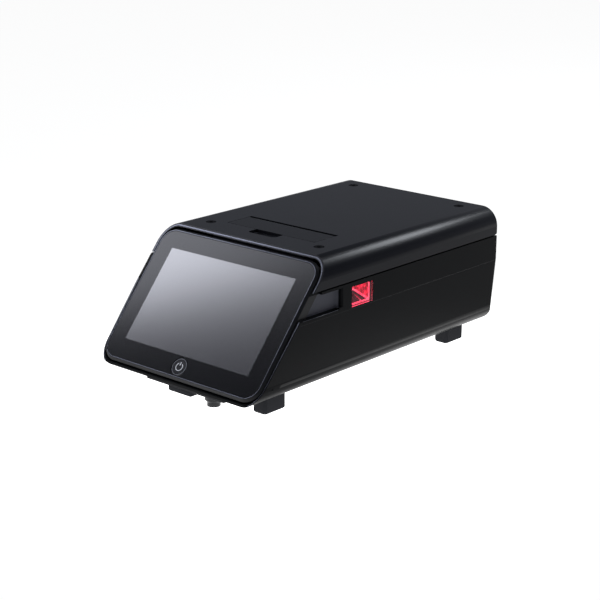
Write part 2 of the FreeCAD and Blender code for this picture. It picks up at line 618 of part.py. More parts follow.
def cut_front_slope(body):
    """Cuts the tray's sides along the slope of the display."""
    high = "(seam_height + lip_height + overrun)"
    low = "(foot_height - overrun)"
    front = f"{slope_y(low)} - overrun"
    shape = [(slope_y(low), low), (slope_y(high), high), (front, high), (front, low)]
    cut(body, "YZ_Plane", f"0 - {HALF} - overrun", "body_width + 2 * overrun", shape)


def deck_places():
    """Where the deck is carried on the tray's posts."""
    rows = ("deck_front + deck_inset", "deck_rear - 2 * deck_inset")
    return [(f"{side} * (deck_half - deck_inset)", from_top(row)) for side in SIDES for row in rows]


def foot_places():
    """Middles of the four feet."""
    rows = ("front_foot + foot_long / 2", "rear_foot + foot_long / 2")
    return [(f"{side} * (foot_outer - foot_wide / 2)", from_top(row)) for side in SIDES for row in rows]


def make_cover_screws():
    """Four flat cover screws with hexagon sockets."""
    body = new_body("cover_screws")
    places = screw_places()
    head_low = "body_height - screw_seat_depth"
    add(body, "XY_Plane", head_low, "screw_head_tall", *[(place, "screw_head") for place in places])
    shanks = [hexagon(place, "screw_shank") for place in places]
    add(body, "XY_Plane", f"{COVER_UNDER} - screw_length + overrun",
        "screw_length + wall - screw_seat_depth - overrun", *shanks)
    sockets = [hexagon(place, "screw_socket") for place in places]
    cut(body, "XY_Plane", f"{head_low} + screw_head_tall - screw_socket_deep",
        "screw_socket_deep + overrun", *sockets)
    return body


def hexagon(place, radius):
    """Regular hexagon round a place, its corners at the radius."""
    corners = []
    for step in range(6):
        angle = step * math.pi / 3
        corners.append((f"{place[0]} + {radius} * {math.cos(angle):.6f}",
                        f"{place[1]} + {radius} * {math.sin(angle):.6f}"))
    return corners


# Display module, drawn flat: Y is minus the distance down the slope, Z stands out of the slope


def down(name):
    return f"(0 - {name})"


def floor_wedge(clearance, low, high):
    """Outline, along X, of what must go so that a display piece clears the tray's floor."""
    level = f"({FLOOR} + {clearance} - body_height)"

    def at(depth):
        return f"({level} - ({depth}) * cos(display_tilt)) / sin(display_tilt)"

    far = f"{at(high)} - 2 * {FLOOR}"
    return [(at(low), low), (at(high), high), (far, high), (far, low)]


GLASS_BACK = "(frame_proud - glass_sink - glass_thick)"


def cut_tray_corners(body):
    """Trims a display piece where the tray's rounded lower corners are in its way."""
    centre_z = f"({FLOOR} + tray_inner_round - body_height)"
    level = f"({FLOOR} + frame_gap - body_height)"
    far_z = f"({level} - 2 * tray_inner_round)"
    for side in SIDES:
        centre_x = f"{side} * ({HALF} - tray_side - tray_inner_round)"
        edge_x = f"{side} * ({HALF} - tray_side - frame_gap)"
        far_x = f"{side} * ({HALF} + tray_side)"
        sketch = sketch_on(body, "XZ_Plane", "0")
        turn = FreeCAD.Rotation(FreeCAD.Vector(1, 0, 0), value("0 - display_tilt"))
        sketch.AttachmentOffset = FreeCAD.Placement(FreeCAD.Vector(0, 0, 0), turn)
        corners = [(edge_x, centre_z), (far_x, centre_z), (far_x, far_z),
                   (centre_x, far_z), (centre_x, level)]
        turns = 3 if side == "1" else 2
        draw_quarter(sketch, corners, (centre_x, centre_z), "tray_inner_round - frame_gap", turns)
        pocket = body.newObject("PartDesign::Pocket", f"{body.Name}_corner")
        pocket.Profile = sketch
        pocket.SideType = "Symmetric"
        pocket.setExpression("Length", sized("body_height * 4"))
        sketch.Visibility = False


def make_display_frame():
    """Frame of the display with a bevelled front edge, a seat for the glass and a chin."""
    body = new_body("display_frame")
    outer = rectangle("0 - frame_half", down("frame_end"), "frame_half", down("frame_top"))
    add(body, "XY_Plane", "0 - frame_deep", "frame_deep + frame_proud", outer)
    seat = rectangle("0 - glass_half - glass_gap", down("(glass_end + glass_gap)"),
                     "glass_half + glass_gap", down("(glass_top - glass_gap)"))
    cut(body, "XY_Plane", GLASS_BACK, f"frame_proud - {GLASS_BACK} + overrun", seat)
    inner_side = value("glass_half + glass_gap")
    soften(body, "glass_round", lambda d, m, box: upright(d, m, box) and near(abs(m.x), inner_side))
    soften(body, "frame_round", lambda d, m, box: upright(d, m, box) and near(abs(m.x), box.XMax))
    soften_rim(body, "frame_bevel")
    opening = rectangle("ledge_width - glass_half", down("chin_top"),
                        "glass_half - ledge_width", down("(glass_top + ledge_width)"))
    cut(body, "XY_Plane", "0 - frame_deep - overrun", "frame_deep + frame_proud + 2 * overrun", opening)
    chin = rectangle("ledge_width - glass_half", down("(glass_end - ledge_width)"),
                     "glass_half - ledge_width", down("chin_top"))
    cut(body, "XY_Plane", "0 - frame_deep - overrun", f"frame_deep + overrun - chin_sink - chin_thick", chin)
    button = ("0", down("button_drop"))
    ears = around(button, "(ear_reach + button_gap)", "(ear_half + button_gap)")
    cap = (button, "button_radius + button_gap")
    for shape in (ears, cap):
        cut(body, "XY_Plane", "0 - chin_sink", "chin_sink + frame_proud + overrun", shape)
    cut(body, "XY_Plane", "0 - chin_sink - chin_thick - overrun", "chin_thick + 2 * overrun",
        (button, "button_stem + stem_gap"))
    wedge = floor_wedge("frame_gap", "(0 - frame_deep - overrun)", "frame_proud")
    cut(body, "YZ_Plane", "0 - frame_half - overrun", "2 * frame_half + 2 * overrun", wedge)
    cut_tray_corners(body)
    tilt_onto_display(body)
    return body


def around(place, half_x, half_y):
    """Rectangle round a place."""
    return rectangle(f"{place[0]} - {half_x}", f"{place[1]} - {half_y}", f"{place[0]} + {half_x}",
                     f"{place[1]} + {half_y}")


def display_screw_places():
    rows = ("display_screw_top", "display_screw_end")
    return [(f"{side} * display_screw_half", down(row)) for side in SIDES for row in rows]


def make_cover_glass():
    """Front glass with rounded corners and the hole for the button."""
    body = new_body("cover_glass")
    plate = rectangle("0 - glass_half", down("glass_end"), "glass_half", down("glass_top"))
    add(body, "XY_Plane", GLASS_BACK, "glass_thick", plate)
    soften(body, "glass_round - glass_gap", upright)
    hole = (("0", down("button_drop")), "button_radius + button_gap")
    cut(body, "XY_Plane", f"{GLASS_BACK} - overrun", "glass_thick + 2 * overrun", hole)
    tilt_onto_display(body)
    return body


def make_lcd_panel():
    """Display panel bonded to the glass, with a thinner lower edge for its driver strip."""
    body = new_body("lcd_panel")
    plate = rectangle("0 - panel_half", down("panel_end"), "panel_half", down("panel_top"))
    add(body, "XY_Plane", f"{GLASS_BACK} - panel_thick", "panel_thick", plate)
    rim = rectangle("panel_half - ledge_width", down("(panel_end - ledge_width)"),
                    "ledge_width - panel_half", down("(panel_top + ledge_width)"))
    cut(body, "XY_Plane", f"{GLASS_BACK} - panel_thick - overrun", "overrun + panel_gap", rim)
    tilt_onto_display(body)
    return body


def make_display_back():
    """Sheet carrier behind the frame, with a window for the switch and spacers for the board."""
    body = new_body("display_back")
    plate = rectangle("0 - carrier_half", down("carrier_end"), "carrier_half", down("carrier_top"))
    low = "(0 - frame_deep - carrier_thick)"
    add(body, "XY_Plane", low, "carrier_thick", plate)
    spacers = [hexagon(place, "spacer_radius") for place in display_board_places()]
    add(body, "XY_Plane", f"{low} - display_spacer", "display_spacer", *spacers)
    reach = "(switch_half + switch_slack)"
    window = around(("0", down("button_drop")), reach, reach)
    cut(body, "XY_Plane", f"{low} - overrun", "carrier_thick + 2 * overrun", window)
    cut_tray_corners(body)
    tilt_onto_display(body)
    return body


def display_board_places():
    rows = ("display_board_top + ledge_width", "display_board_end - ledge_width")
    column = "(display_board_half - ledge_width)"
    return [(f"{side} * {column}", down(f"({row})")) for side in SIDES for row in rows]


def make_display_board():
    """Controller board on the carrier's spacers, with its chip and its plug."""
    body = new_body("display_board")
    high = "(0 - frame_deep - carrier_thick - display_spacer)"
    plate = rectangle("0 - display_board_half", down("display_board_end"), "display_board_half",
                      down("display_board_top"))
    add(body, "XY_Plane", f"{high} - board_thick", "board_thick", plate)
    middle = "(display_board_top + display_board_end) / 2"
    chip = rectangle("0 - display_chip_half", f"0 - {middle} - display_chip_half", "display_chip_half",
                     f"0 - {middle} + display_chip_half")
    add(body, "XY_Plane", f"{high} - board_thick - display_chip_tall", "display_chip_tall", chip)
    plug = rectangle("cable_side - plug_half", f"{down('display_board_end')} + ledge_width / 2",
                     "cable_side + plug_half", f"{down('display_board_end')} + 2 * ledge_width")
    add(body, "XY_Plane", f"{high} - board_thick - display_chip_tall", "display_chip_tall", plug)
    tilt_onto_display(body)
    return body


def make_display_screws():
    """Hexagon heads of the four small screws that hold the carrier to the frame."""
    body = new_body("display_screws")
    back = "(0 - frame_deep - carrier_thick)"
    places = display_screw_places()
    add(body, "XY_Plane", f"{back} - small_screw_head_tall", "small_screw_head_tall",
        *[hexagon(place, "small_screw_head") for place in places])
    tilt_onto_display(body)
    return body


FLANGE_TOP = f"({GLASS_BACK} - button_gap)"
STEM_TOP = f"({FLANGE_TOP} - button_flange_thick)"
STEM_LOW = f"({STEM_TOP} - stem_length)"
SWITCH_TOP = f"({STEM_LOW} - button_travel - switch_slack)"
CARRIER_BACK = "(0 - frame_deep - carrier_thick)"


def make_power_button():
    """Cap in the glass, with two ears that keep it in and a stem towards the switch."""
    body = new_body("power_button")
    place = ("0", down("button_drop"))
    add(body, "XY_Plane", STEM_TOP, f"frame_proud - glass_sink - {STEM_TOP}", (place, "button_radius"))
    soften_rim(body, "button_crown")
    add(body, "XY_Plane", STEM_TOP, "button_flange_thick", around(place, "ear_reach", "ear_half"))
    add(body, "XY_Plane", STEM_LOW, "stem_length", (place, "button_stem"))
    tilt_onto_display(body)
    return body


def make_switch_plunger():
    """Plunger of the switch, which the stem pushes."""
    body = new_body("switch_plunger")
    add(body, "XY_Plane", f"{STEM_LOW} - plunger_length", "plunger_length",
        (("0", down("button_drop")), "plunger_radius"))
    tilt_onto_display(body)
    return body


def make_button_switch():
    """Housing of the push switch, open at its top for the plunger."""
    body = new_body("button_switch")
    place = ("0", down("button_drop"))
    case = around(place, "switch_half", "switch_half")
    add(body, "XY_Plane", CARRIER_BACK, f"{SWITCH_TOP} - {CARRIER_BACK}", case)
    deep = "(button_travel + plunger_length)"
    bore = (place, "plunger_radius + plunger_gap")
    cut(body, "XY_Plane", f"{SWITCH_TOP} - {deep}", f"{deep} + overrun", bore)
    tilt_onto_display(body)
    return body


def make_button_board():
    """Small board under the switch, against the carrier."""
    body = new_body("button_board")
    plate = rectangle("0 - button_board_half", down("button_board_end"),
                      "button_board_half", down("button_board_top"))
    add(body, "XY_Plane", f"{CARRIER_BACK} - button_board_thick", "button_board_thick", plate)
    tilt_onto_display(body)
    return body


# Code scanner in the right side


def make_scanner_window():
    """Red window, flush outside, with a flange that rests on the wall's inside."""
    body = new_body("scanner_window")
    front = from_top("window_front")
    rear = from_top("window_front + window_length")
    pane = rectangle(front, "window_low", rear, "window_low + window_height")
    add(body, "YZ_Plane", f"{HALF} - tray_side", "tray_side", pane)
    flange = rectangle(f"{front} - window_flange", "window_low - window_flange",
                       f"{rear} + window_flange", "window_low + window_height + window_flange")
    add(body, "YZ_Plane", f"{HALF} - tray_side - window_flange_thick", "window_flange_thick", flange)
    return body


SCAN_OUT = f"({HALF} - tray_side - window_flange_thick)"


def make_scan_mirror():
    """Slanting mirror strip behind the window, with its triangular cheek."""
    body = new_body("scan_mirror")
    front = from_top("window_front")
    low = "window_low"
    high = "(window_low + window_height - mirror_margin)"
    reach = f"({front} + mirror_reach)"
    strip = [(front, high), (f"{front} + mirror_thick", high),
             (f"{reach} + mirror_thick", low), (reach, low)]
    add(body, "YZ_Plane", f"{SCAN_OUT} - mirror_margin - mirror_width", "mirror_width", strip)
    cheek = [(front, low), (f"{reach} + mirror_thick / 2", low),
             (f"{front} + mirror_thick / 2", high), (front, high)]
    add(body, "YZ_Plane", f"{SCAN_OUT} - mirror_margin - mirror_width", "mirror_thick", cheek)
    return body


def make_scan_engine():
    """Scan engine on the inner side of the mirror: block, lens barrel and seat."""
    body = new_body("scan_engine")
    outer = f"({SCAN_OUT} - mirror_margin - mirror_width)"
    front = from_top("window_front")
    rear = from_top("window_front + window_length")
    block = rectangle(front, "window_low", rear, "window_low + window_height")
    add(body, "YZ_Plane", f"{outer} - scan_engine_wide", "scan_engine_wide", block)
    lens = ((f"{front} + window_length * 2 / 3", "window_low + window_height * 2 / 3"), "scan_lens_radius")
    cut(body, "YZ_Plane", f"{outer} - scan_lens_long", "scan_lens_long + overrun", lens)
    shelf = rectangle(front, "window_low - scan_shelf_thick", rear, "window_low")
    add(body, "YZ_Plane", f"{outer} - scan_engine_wide", f"{SCAN_OUT} - {outer} + scan_engine_wide", shelf)
    return body


def make_scan_light_board():
    """Narrow board with two lamps above the mirror."""
    body = new_body("scan_light_board")
    front = from_top("window_front")
    rear = from_top("window_front + window_length")
    high = "(window_low + window_height)"
    plate = rectangle(front, high, rear, f"{high} + scan_board_thick")
    outer = f"({SCAN_OUT} - mirror_margin)"
    inner = f"({outer} - mirror_width - mirror_thick)"
    add(body, "YZ_Plane", inner, f"{outer} - {inner}", plate)
    for share in ("1 / 4", "3 / 4"):
        middle = f"({front} + window_length * {share})"
        lamp = rectangle(f"{middle} - mirror_thick", f"{high} - mirror_thick / 2",
                         f"{middle} + mirror_thick", high)
        add(body, "YZ_Plane", f"{outer} - scan_board_wide / 2", "2 * mirror_thick", lamp)
    return body


# Door in the top


def make_cartridge_door():
    """Door plate whose rear edge is curled round the hinge axis, with a barrel at each end."""
    body = new_body("cartridge_door")
    front = from_top("door_front")
    rear = from_top("door_rear")
    under = "(body_height - door_thick)"
    low = f"({DOOR_AXIS_Z} - curl_tail)"
    profile = [(front, "body_height"), (rear, "body_height"), (rear, low),
               (f"{rear} - door_thick", low), (f"{rear} - door_thick", under), (front, under)]
    add(body, "YZ_Plane", "0 - door_half", "2 * door_half", profile)
    back = value(rear)
    inside = value(f"{rear} - door_thick")
    soften(body, "door_curl",
           lambda d, m, box: near(abs(d.x), 1) and near(m.y, back) and near(m.z, box.ZMax))
    soften(body, "door_curl - door_thick", lambda d, m, box: near(abs(d.x), 1) and near(m.y, inside)
           and m.z > value(low) + value("match_tolerance"))
    soften(body, "door_corner", lambda d, m, box: upright(d, m, box) and near(m.y, box.YMin))
    axis = (DOOR_AXIS_Y, DOOR_AXIS_Z)
    for start in ("0 - door_half", "door_half - knuckle_long"):
        add(body, "YZ_Plane", start, "knuckle_long", (axis, "door_curl"))
        cut(body, "YZ_Plane", f"{start} - overrun", "knuckle_long + 2 * overrun", (axis, "pin_radius"))
    striker = (striker_place(), "striker_radius")
    cut(body, "XY_Plane", f"{under} - overrun", "striker_thick + overrun", striker)
    return body


def striker_place():
    """Where magnet and striker face each other near the door's front edge."""
    return ("striker_side", from_top("door_front + striker_back + magnet_radius"))


def make_door_hinge_pins():
    """Stub pins pressed into the door's barrels."""
    body = new_body("door_hinge_pins")
    axis = (DOOR_AXIS_Y, DOOR_AXIS_Z)
    for start in ("door_half - knuckle_long + overrun", "0 - door_half - pin_reach"):
        add(body, "YZ_Plane", start, "knuckle_long - overrun + pin_reach", (axis, "pin_radius"))
    return body


def make_door_striker():
    """Steel disc let into the door's underside."""
    body = new_body("door_striker")
    add(body, "XY_Plane", "body_height - door_thick", "striker_thick", (striker_place(), "striker_radius"))
    return body


def make_door_magnet():
    """Magnet in the bezel's landing that holds the door shut."""
    body = new_body("door_magnet")
    add(body, "XY_Plane", f"{COVER_UNDER} - landing_gap - magnet_thick", "magnet_thick",
        (striker_place(), "magnet_radius"))
    return body


def make_door_bezel():
    """Moulding under the cover: landing, thumb scoop, hinge seats and the mouth of the well."""
    body = new_body("door_bezel")
    front = from_top("bezel_front")
    block = rectangle("0 - bezel_half", front, "bezel_half", from_top("bezel_rear"))
    add(body, "XY_Plane", BEZEL_LOW, "bezel_deep", block)
    soften(body, "scoop_corner", upright, "Chamfer")
    landing = rectangle("0 - door_half - door_gap", from_top("door_front - door_gap"),
                        "door_half + door_gap", from_top("door_rear + door_rear_gap"))
    cut(body, "XY_Plane", f"{COVER_UNDER} - landing_gap", "landing_gap + overrun", landing)
    axis = (DOOR_AXIS_Y, DOOR_AXIS_Z)
    barrel = ((axis[0], axis[1]), "door_curl + barrel_gap")
    cut(body, "YZ_Plane", "0 - door_half - door_gap", "2 * door_half + 2 * door_gap", barrel)
    slot = rectangle(f"{axis[0]} - pin_radius - pin_gap", DOOR_AXIS_Z, f"{axis[0]} + pin_radius + pin_gap",
                     f"{COVER_UNDER} + overrun")
    reach = "(door_half + pin_reach + pin_end_gap)"
    for shape in (slot, (axis, "pin_radius + pin_gap")):
        cut(body, "YZ_Plane", f"0 - {reach}", f"2 * {reach}", shape)
    trough = [("0 - trough_half", f"{COVER_UNDER} + overrun"), ("0 - trough_half", f"{COVER_UNDER} - wall"),
              ("0 - well_rim", f"{BEZEL_LOW} + wall"), ("0 - well_rim", f"{BEZEL_LOW} - overrun"),
              ("well_rim", f"{BEZEL_LOW} - overrun"), ("well_rim", f"{BEZEL_LOW} + wall"),
              ("trough_half", f"{COVER_UNDER} - wall"), ("trough_half", f"{COVER_UNDER} + overrun")]
    cut(body, "XZ_Plane", from_top("trough_front"), "door_rear - door_curl - trough_front", trough)
    bend = from_top("(scoop_front + scoop_round)")
    high = f"({COVER_UNDER} + overrun)"
    scoop = [(from_top("scoop_front"), high), (from_top("scoop_front"), f"{COVER_UNDER} - scoop_wall"),
             (bend, "body_height - scoop_deep"), (from_top("scoop_under"), "body_height - scoop_deep"),
             (from_top("scoop_under"), high)]
    cut(body, "YZ_Plane", "0 - scoop_half", "2 * scoop_half", scoop)
    bend_y = value(bend)
    soften(body, "scoop_round", lambda d, m, box: near(abs(d.x), 1) and near(m.y, bend_y))
    cut(body, "XY_Plane", f"{COVER_UNDER} - landing_gap - magnet_thick",
        "magnet_thick + landing_gap + overrun", (striker_place(), "magnet_radius"))
    return body


def make_door_sensor():
    """Small sensor under the bezel that sees the door closed."""
    body = new_body("door_sensor")
    block = rectangle("0 - sensor_side - sensor_wide", f"{WELL_Y} - sensor_wide",
                      "sensor_wide - sensor_side", f"{WELL_Y} + sensor_wide")
    add(body, "XY_Plane", f"{BEZEL_LOW} - sensor_tall", "sensor_tall", block)
    return body


# Well, heater and optics


def around_well(half_x, half_y):
    return rectangle(f"0 - {half_x}", f"{WELL_Y} - {half_y}", half_x, f"{WELL_Y} + {half_y}")


def make_cartridge_well():
    """Square well that takes the test cup, with a read window in its floor."""
    body = new_body("cartridge_well")
    outer = around_well("well_wide / 2", "well_deep / 2")
    add(body, "XY_Plane", "well_low", f"{BEZEL_LOW} - well_low", outer)
    bore = around_well("well_bore", "well_bore")
    cut(body, "XY_Plane", "well_floor", f"{BEZEL_LOW} - well_floor + overrun", bore)
    inner = value("well_bore")
    soften(body, "well_corner", lambda d, m, box: upright(d, m, box) and near(abs(m.x), inner))
    cut(body, "XY_Plane", "well_low - overrun", "well_floor - well_low + 2 * overrun",
        (("0", WELL_Y), "well_window"))
    return body


def make_heater_block():
    """Aluminium jacket round the lower part of the well."""
    body = new_body("heater_block")
    add(body, "XY_Plane", "well_low", "heater_height",
        around_well("(well_wide / 2 + heater_wall)", "(well_deep / 2 + heater_wall)"),
        around_well("(well_wide / 2 + heater_gap)", "(well_deep / 2 + heater_gap)"))
    soften(body, "well_corner", lambda d, m, box: upright(d, m, box) and near(abs(m.x), box.XMax))
    return body


def make_optics_block():
    """Block under the well with a standing light path and a cross bore for the lamp."""
    body = new_body("optics_block")
    add(body, "XY_Plane", "optics_low", "well_low - optics_low", around_well("optics_half", "well_deep / 2"))
    path = (("0", WELL_Y), "light_path")
    cut(body, "XY_Plane", "optics_low - overrun", "well_low - optics_low + 2 * overrun", path)
    lamp = ((WELL_Y, "lamp_height"), "lamp_radius + optics_gap")
    cut(body, "YZ_Plane", "0 - optics_half - overrun", "optics_half + overrun", lamp)
    return body


def make_optics_lens():
    """Lens at the top of the light path."""
    body = new_body("optics_lens")
    disc = (("0", WELL_Y), "light_path - optics_gap / 2")
    add(body, "XY_Plane", "well_low - lens_thick - optics_gap", "lens_thick", disc)
    return body


def make_excitation_lamp():
    """Lamp capsule in the cross bore."""
    body = new_body("excitation_lamp")
    inner = "(0 - optics_half + lamp_long - lamp_out)"
    add(body, "YZ_Plane", f"{inner} - lamp_long", "lamp_long", ((WELL_Y, "lamp_height"), "lamp_radius"))
    return body


def make_read_detector():
    """Detector can at the foot of the light path."""
    body = new_body("read_detector")
    add(body, "XY_Plane", "optics_low", "detector_tall", (("0", WELL_Y), "detector_radius"))
    return body


def make_optics_board():
    """Board under the optics block."""
    body = new_body("optics_board")
    plate = around_well("(optics_half + optics_rim)", "well_deep / 2")
    add(body, "XY_Plane", "optics_low - board_thick", "board_thick", plate)
    return body


# Deck and boards


def make_chassis_deck():
    """Level deck on the tray's posts, with turned-up side flanges."""
    body = new_body("chassis_deck")
    plate = rectangle("0 - deck_half", from_top("deck_front"), "deck_half", from_top("deck_rear"))
    add(body, "XY_Plane", DECK_LOW, "deck_thick", plate)
    soften(body, "deck_inset / 2", upright)
    for side in SIDES:
        flange = rectangle(f"{side} * deck_half", from_top("deck_front + deck_inset"),
                           f"{side} * (deck_half - deck_thick)", from_top("deck_rear - deck_inset"))
        add(body, "XY_Plane", DECK_LOW, "deck_thick + deck_inset", flange)
    arm = rectangle("deck_half - deck_thick", from_top("deck_front + deck_inset"), "deck_half",
                    from_top("window_front + window_length"))
    add(body, "XY_Plane", DECK_LOW, f"window_low - scan_shelf_thick - {DECK_LOW}", arm)
    return body


def main_board_places():
    rows = ("main_front + main_inset", "main_rear - main_inset")
    return [(f"{side} * (main_half - main_inset)", from_top(row)) for side in SIDES for row in rows]


def make_board_standoffs():
    """Four hexagon standoffs between deck and main board."""
    body = new_body("board_standoffs")
    low = f"({DECK_LOW} + deck_thick)"
    add(body, "XY_Plane", low, f"main_height - {low}",
        *[hexagon(place, "standoff_radius") for place in main_board_places()])
    return body


def make_main_board():
    """Main board with processor, connectors and capacitors."""
    body = new_body("main_board")
    plate = rectangle("0 - main_half", from_top("main_front"), "main_half", from_top("main_rear"))
    add(body, "XY_Plane", "main_height", "board_thick", plate)
    high = "main_height + board_thick"
    middle = from_top("(main_front + main_rear) / 2")
    chip = rectangle("0 - chip_half", f"{middle} - chip_half", "chip_half", f"{middle} + chip_half")
    add(body, "XY_Plane", high, "chip_tall", chip)
    plug = rectangle("cable_side - plug_half", from_top("main_plug_end - plug_deep"),
                     "cable_side + plug_half", from_top("main_plug_end"))
    add(body, "XY_Plane", high, "chip_tall", plug)
    between = "(0 - (chip_half + main_half) / 2)"
    cans = [((f"{between} + {side} * can_radius", middle), "small_can_radius") for side in SIDES]
    add(body, "XY_Plane", high, "can_tall", *cans)
    return body


def make_board_screws():
    """Hexagon heads of the screws of the main board and of the deck."""
    body = new_body("board_screws")
    for high, places in (("(main_height + board_thick)", main_board_places()),
                         (f"({DECK_LOW} + deck_thick)", deck_places())):
        heads = [hexagon(place, "small_screw_head") for place in places]
        add(body, "XY_Plane", high, "small_screw_head_tall", *heads)
    return body


def make_heat_sink():
    """Finned heat sink on the processor."""
    body = new_body("heat_sink")
    middle = from_top("(main_front + main_rear) / 2")
    low = "(main_height + board_thick + chip_tall)"
    base = rectangle("0 - chip_half", f"{middle} - chip_half", "chip_half", f"{middle} + chip_half")
    add(body, "XY_Plane", low, "sink_base", base)
    start = "(0 - fin_spacing * (fin_count - 1) / 2)"
    fin = rectangle(f"{start} - fin_thick / 2", f"{middle} - chip_half",
                    f"{start} + fin_thick / 2", f"{middle} + chip_half")
    first = add(body, "XY_Plane", f"{low} + sink_base", "fin_tall", fin)
    repeat(body, first, "X_Axis", "fin_spacing * (fin_count - 1)", "fin_count")
    return body


def power_board_places():
    rows = ("power_front + main_inset", "power_rear - main_inset")
    return [(f"{side} * (power_half - main_inset)", from_top(row)) for side in SIDES for row in rows]


def make_power_board():
    """Power board low in the front, with coils and capacitors."""
    body = new_body("power_board")
    plate = rectangle("0 - power_half", from_top("power_front"), "power_half", from_top("power_rear"))
    add(body, "XY_Plane", "power_height", "board_thick", plate)
    high = "power_height + board_thick"
    middle = from_top("(power_front + power_rear) / 2")
    add(body, "XY_Plane", high, "coil_tall", (("coil_radius * 2", middle), "coil_radius"))
    add(body, "XY_Plane", high, "can_tall", (("0 - can_radius * 2", middle), "can_radius"))
    add(body, "XY_Plane", FLOOR, f"power_height - {FLOOR}",
        *[hexagon(place, "standoff_radius") for place in power_board_places()])
    return body


def make_display_cable():
    """Flat cable from the display's board back to the main board, in folded runs."""
    body = new_body("display_cable")
    back = "(frame_deep + carrier_thick + display_spacer + board_thick + display_chip_tall)"
    behind = f"({back} + cable_thick)"
    low = "(main_height + board_thick + chip_tall)"
    high = f"({low} + cable_thick)"
    end = from_top("main_plug_end")
    profile = [(slope_y("cable_low", back), "cable_low"), (slope_y(high, back), high), (end, high),
               (end, low), (slope_y(low, behind), low), (slope_y("cable_low", behind), "cable_low")]
    add(body, "YZ_Plane", "cable_side - cable_half", "2 * cable_half", profile)
    return body


# Ports at the rear

PORT_LOW = "(main_height + board_thick)"


def make_rear_port_plate():
    """Recessed bay for the ports: a rim with a floor that has the cut-outs."""
    body = new_body("rear_port_plate")
    rear = f"({REAR} - bay_rim)"
    outer = rectangle("0 - bay_half", "bay_low", "bay_half", "bay_high")
    add(body, "XZ_Plane", f"{rear} - bay_deep", "bay_deep", outer)
    inner = rectangle("bay_wall - bay_half", "bay_low + bay_wall",
                      "bay_half - bay_wall", "bay_high - bay_wall")
    cut(body, "XZ_Plane", f"{rear} - bay_deep + bay_wall", "bay_deep", inner)
    for port in ("inlet", "usb", "net"):
        reach = f"({port}_half + port_gap)"
        hole = rectangle(f"{port}_side - {reach}", f"{PORT_LOW} - board_thick - port_gap",
                         f"{port}_side + {reach}", f"{PORT_LOW} + {port}_tall + port_gap")
        cut(body, "XZ_Plane", f"{rear} - bay_deep - overrun", "bay_wall + 2 * overrun", hole)
    return body


PORT_FACE = f"({REAR} - bay_rim - bay_deep + bay_wall + port_proud)"


def port_block(label, side, half, tall):
    """Body of a socket that stands through the floor of the bay."""
    body = new_body(label)
    block = rectangle(f"{side} - {half}", PORT_LOW, f"{side} + {half}", f"{PORT_LOW} + {tall}")
    add(body, "XZ_Plane", f"{PORT_FACE} - port_deep", "port_deep", block)
    return body


def make_dc_inlet():
    """Barrel socket for the power lead."""
    body = port_block("dc_inlet", "inlet_side", "inlet_half", "inlet_tall")
    middle = ("inlet_side", f"{PORT_LOW} + inlet_tall / 2")
    cut(body, "XZ_Plane", f"{PORT_FACE} - inlet_bore_deep", "inlet_bore_deep + overrun",
        (middle, "inlet_bore"), (middle, "inlet_pin"))
    return body


def make_usb_ports():
    """Two stacked sockets in one shell."""
    body = port_block("usb_ports", "usb_side", "usb_half", "usb_tall")
    for share in ("1 / 4", "3 / 4"):
        middle = f"({PORT_LOW} + usb_tall * {share})"
        slot = rectangle("usb_side - usb_slot_half", f"{middle} - usb_slot_tall / 2",
                         "usb_side + usb_slot_half", f"{middle} + usb_slot_tall / 2")
        cut(body, "XZ_Plane", f"{PORT_FACE} - usb_slot_deep", "usb_slot_deep + overrun", slot)
    return body


def make_network_port():
    """Network socket with the notch for the plug's latch."""
    body = port_block("network_port", "net_side", "net_half", "net_tall")
    low = f"({PORT_LOW} + net_slot_lift)"
    slot = rectangle("net_side - net_slot_half", low, "net_side + net_slot_half", f"{low} + net_slot_tall")
    cut(body, "XZ_Plane", f"{PORT_FACE} - net_slot_deep", "net_slot_deep + overrun", slot)
    notch = rectangle("net_side - net_slot_half / 2", f"{low} + net_slot_tall",
                      "net_side + net_slot_half / 2", f"{low} + net_slot_tall + net_slot_lift")
    cut(body, "XZ_Plane", f"{PORT_FACE} - net_slot_deep", "net_slot_deep + overrun", notch)
    return body


# Feet


def make_foot(label, side, row):
    """Block foot with bevelled corners and lower edges, and a bore in its top for the screw."""
    body = new_body(label)
    block = rectangle(f"{side} * (foot_outer - foot_wide)", from_top(row), f"{side} * foot_outer",
                      from_top(f"{row} + foot_long"))
    add(body, "XY_Plane", "0", "foot_height", block)
    soften(body, "foot_corner", upright, "Chamfer")
    soften_rim(body, "foot_bevel", upper=False)
    place = (f"{side} * (foot_outer - foot_wide / 2)", from_top(f"{row} + foot_long / 2"))
    bore = hexagon(place, "(foot_screw_shank + foot_bore_gap)")
    cut(body, "XY_Plane", "foot_height - foot_bore_deep", "foot_bore_deep + overrun", bore)
    return body


def make_foot_screws():
    """Four hexagon-headed screws that hold the feet from inside the tray."""
    body = new_body("foot_screws")
    places = foot_places()
    shanks = [hexagon(place, "foot_screw_shank") for place in places]
    add(body, "XY_Plane", "foot_height - foot_screw_grip", "wall + foot_screw_grip", *shanks)
    heads = [hexagon(place, "foot_screw_head") for place in places]
    add(body, "XY_Plane", FLOOR, "foot_screw_head_tall", *heads)
    return body


# Under the front edge


def make_front_bracket():
    """Thin plate under the tray's front edge, with rounded corners."""
    body = new_body("front_bracket")
    plate = rectangle("plate_left", from_top("plate_front"), "plate_right", from_top("plate_rear"))
    add(body, "XY_Plane", "foot_height - plate_thick", "plate_thick", plate)
    soften(body, "plate_corner", upright)
    return body


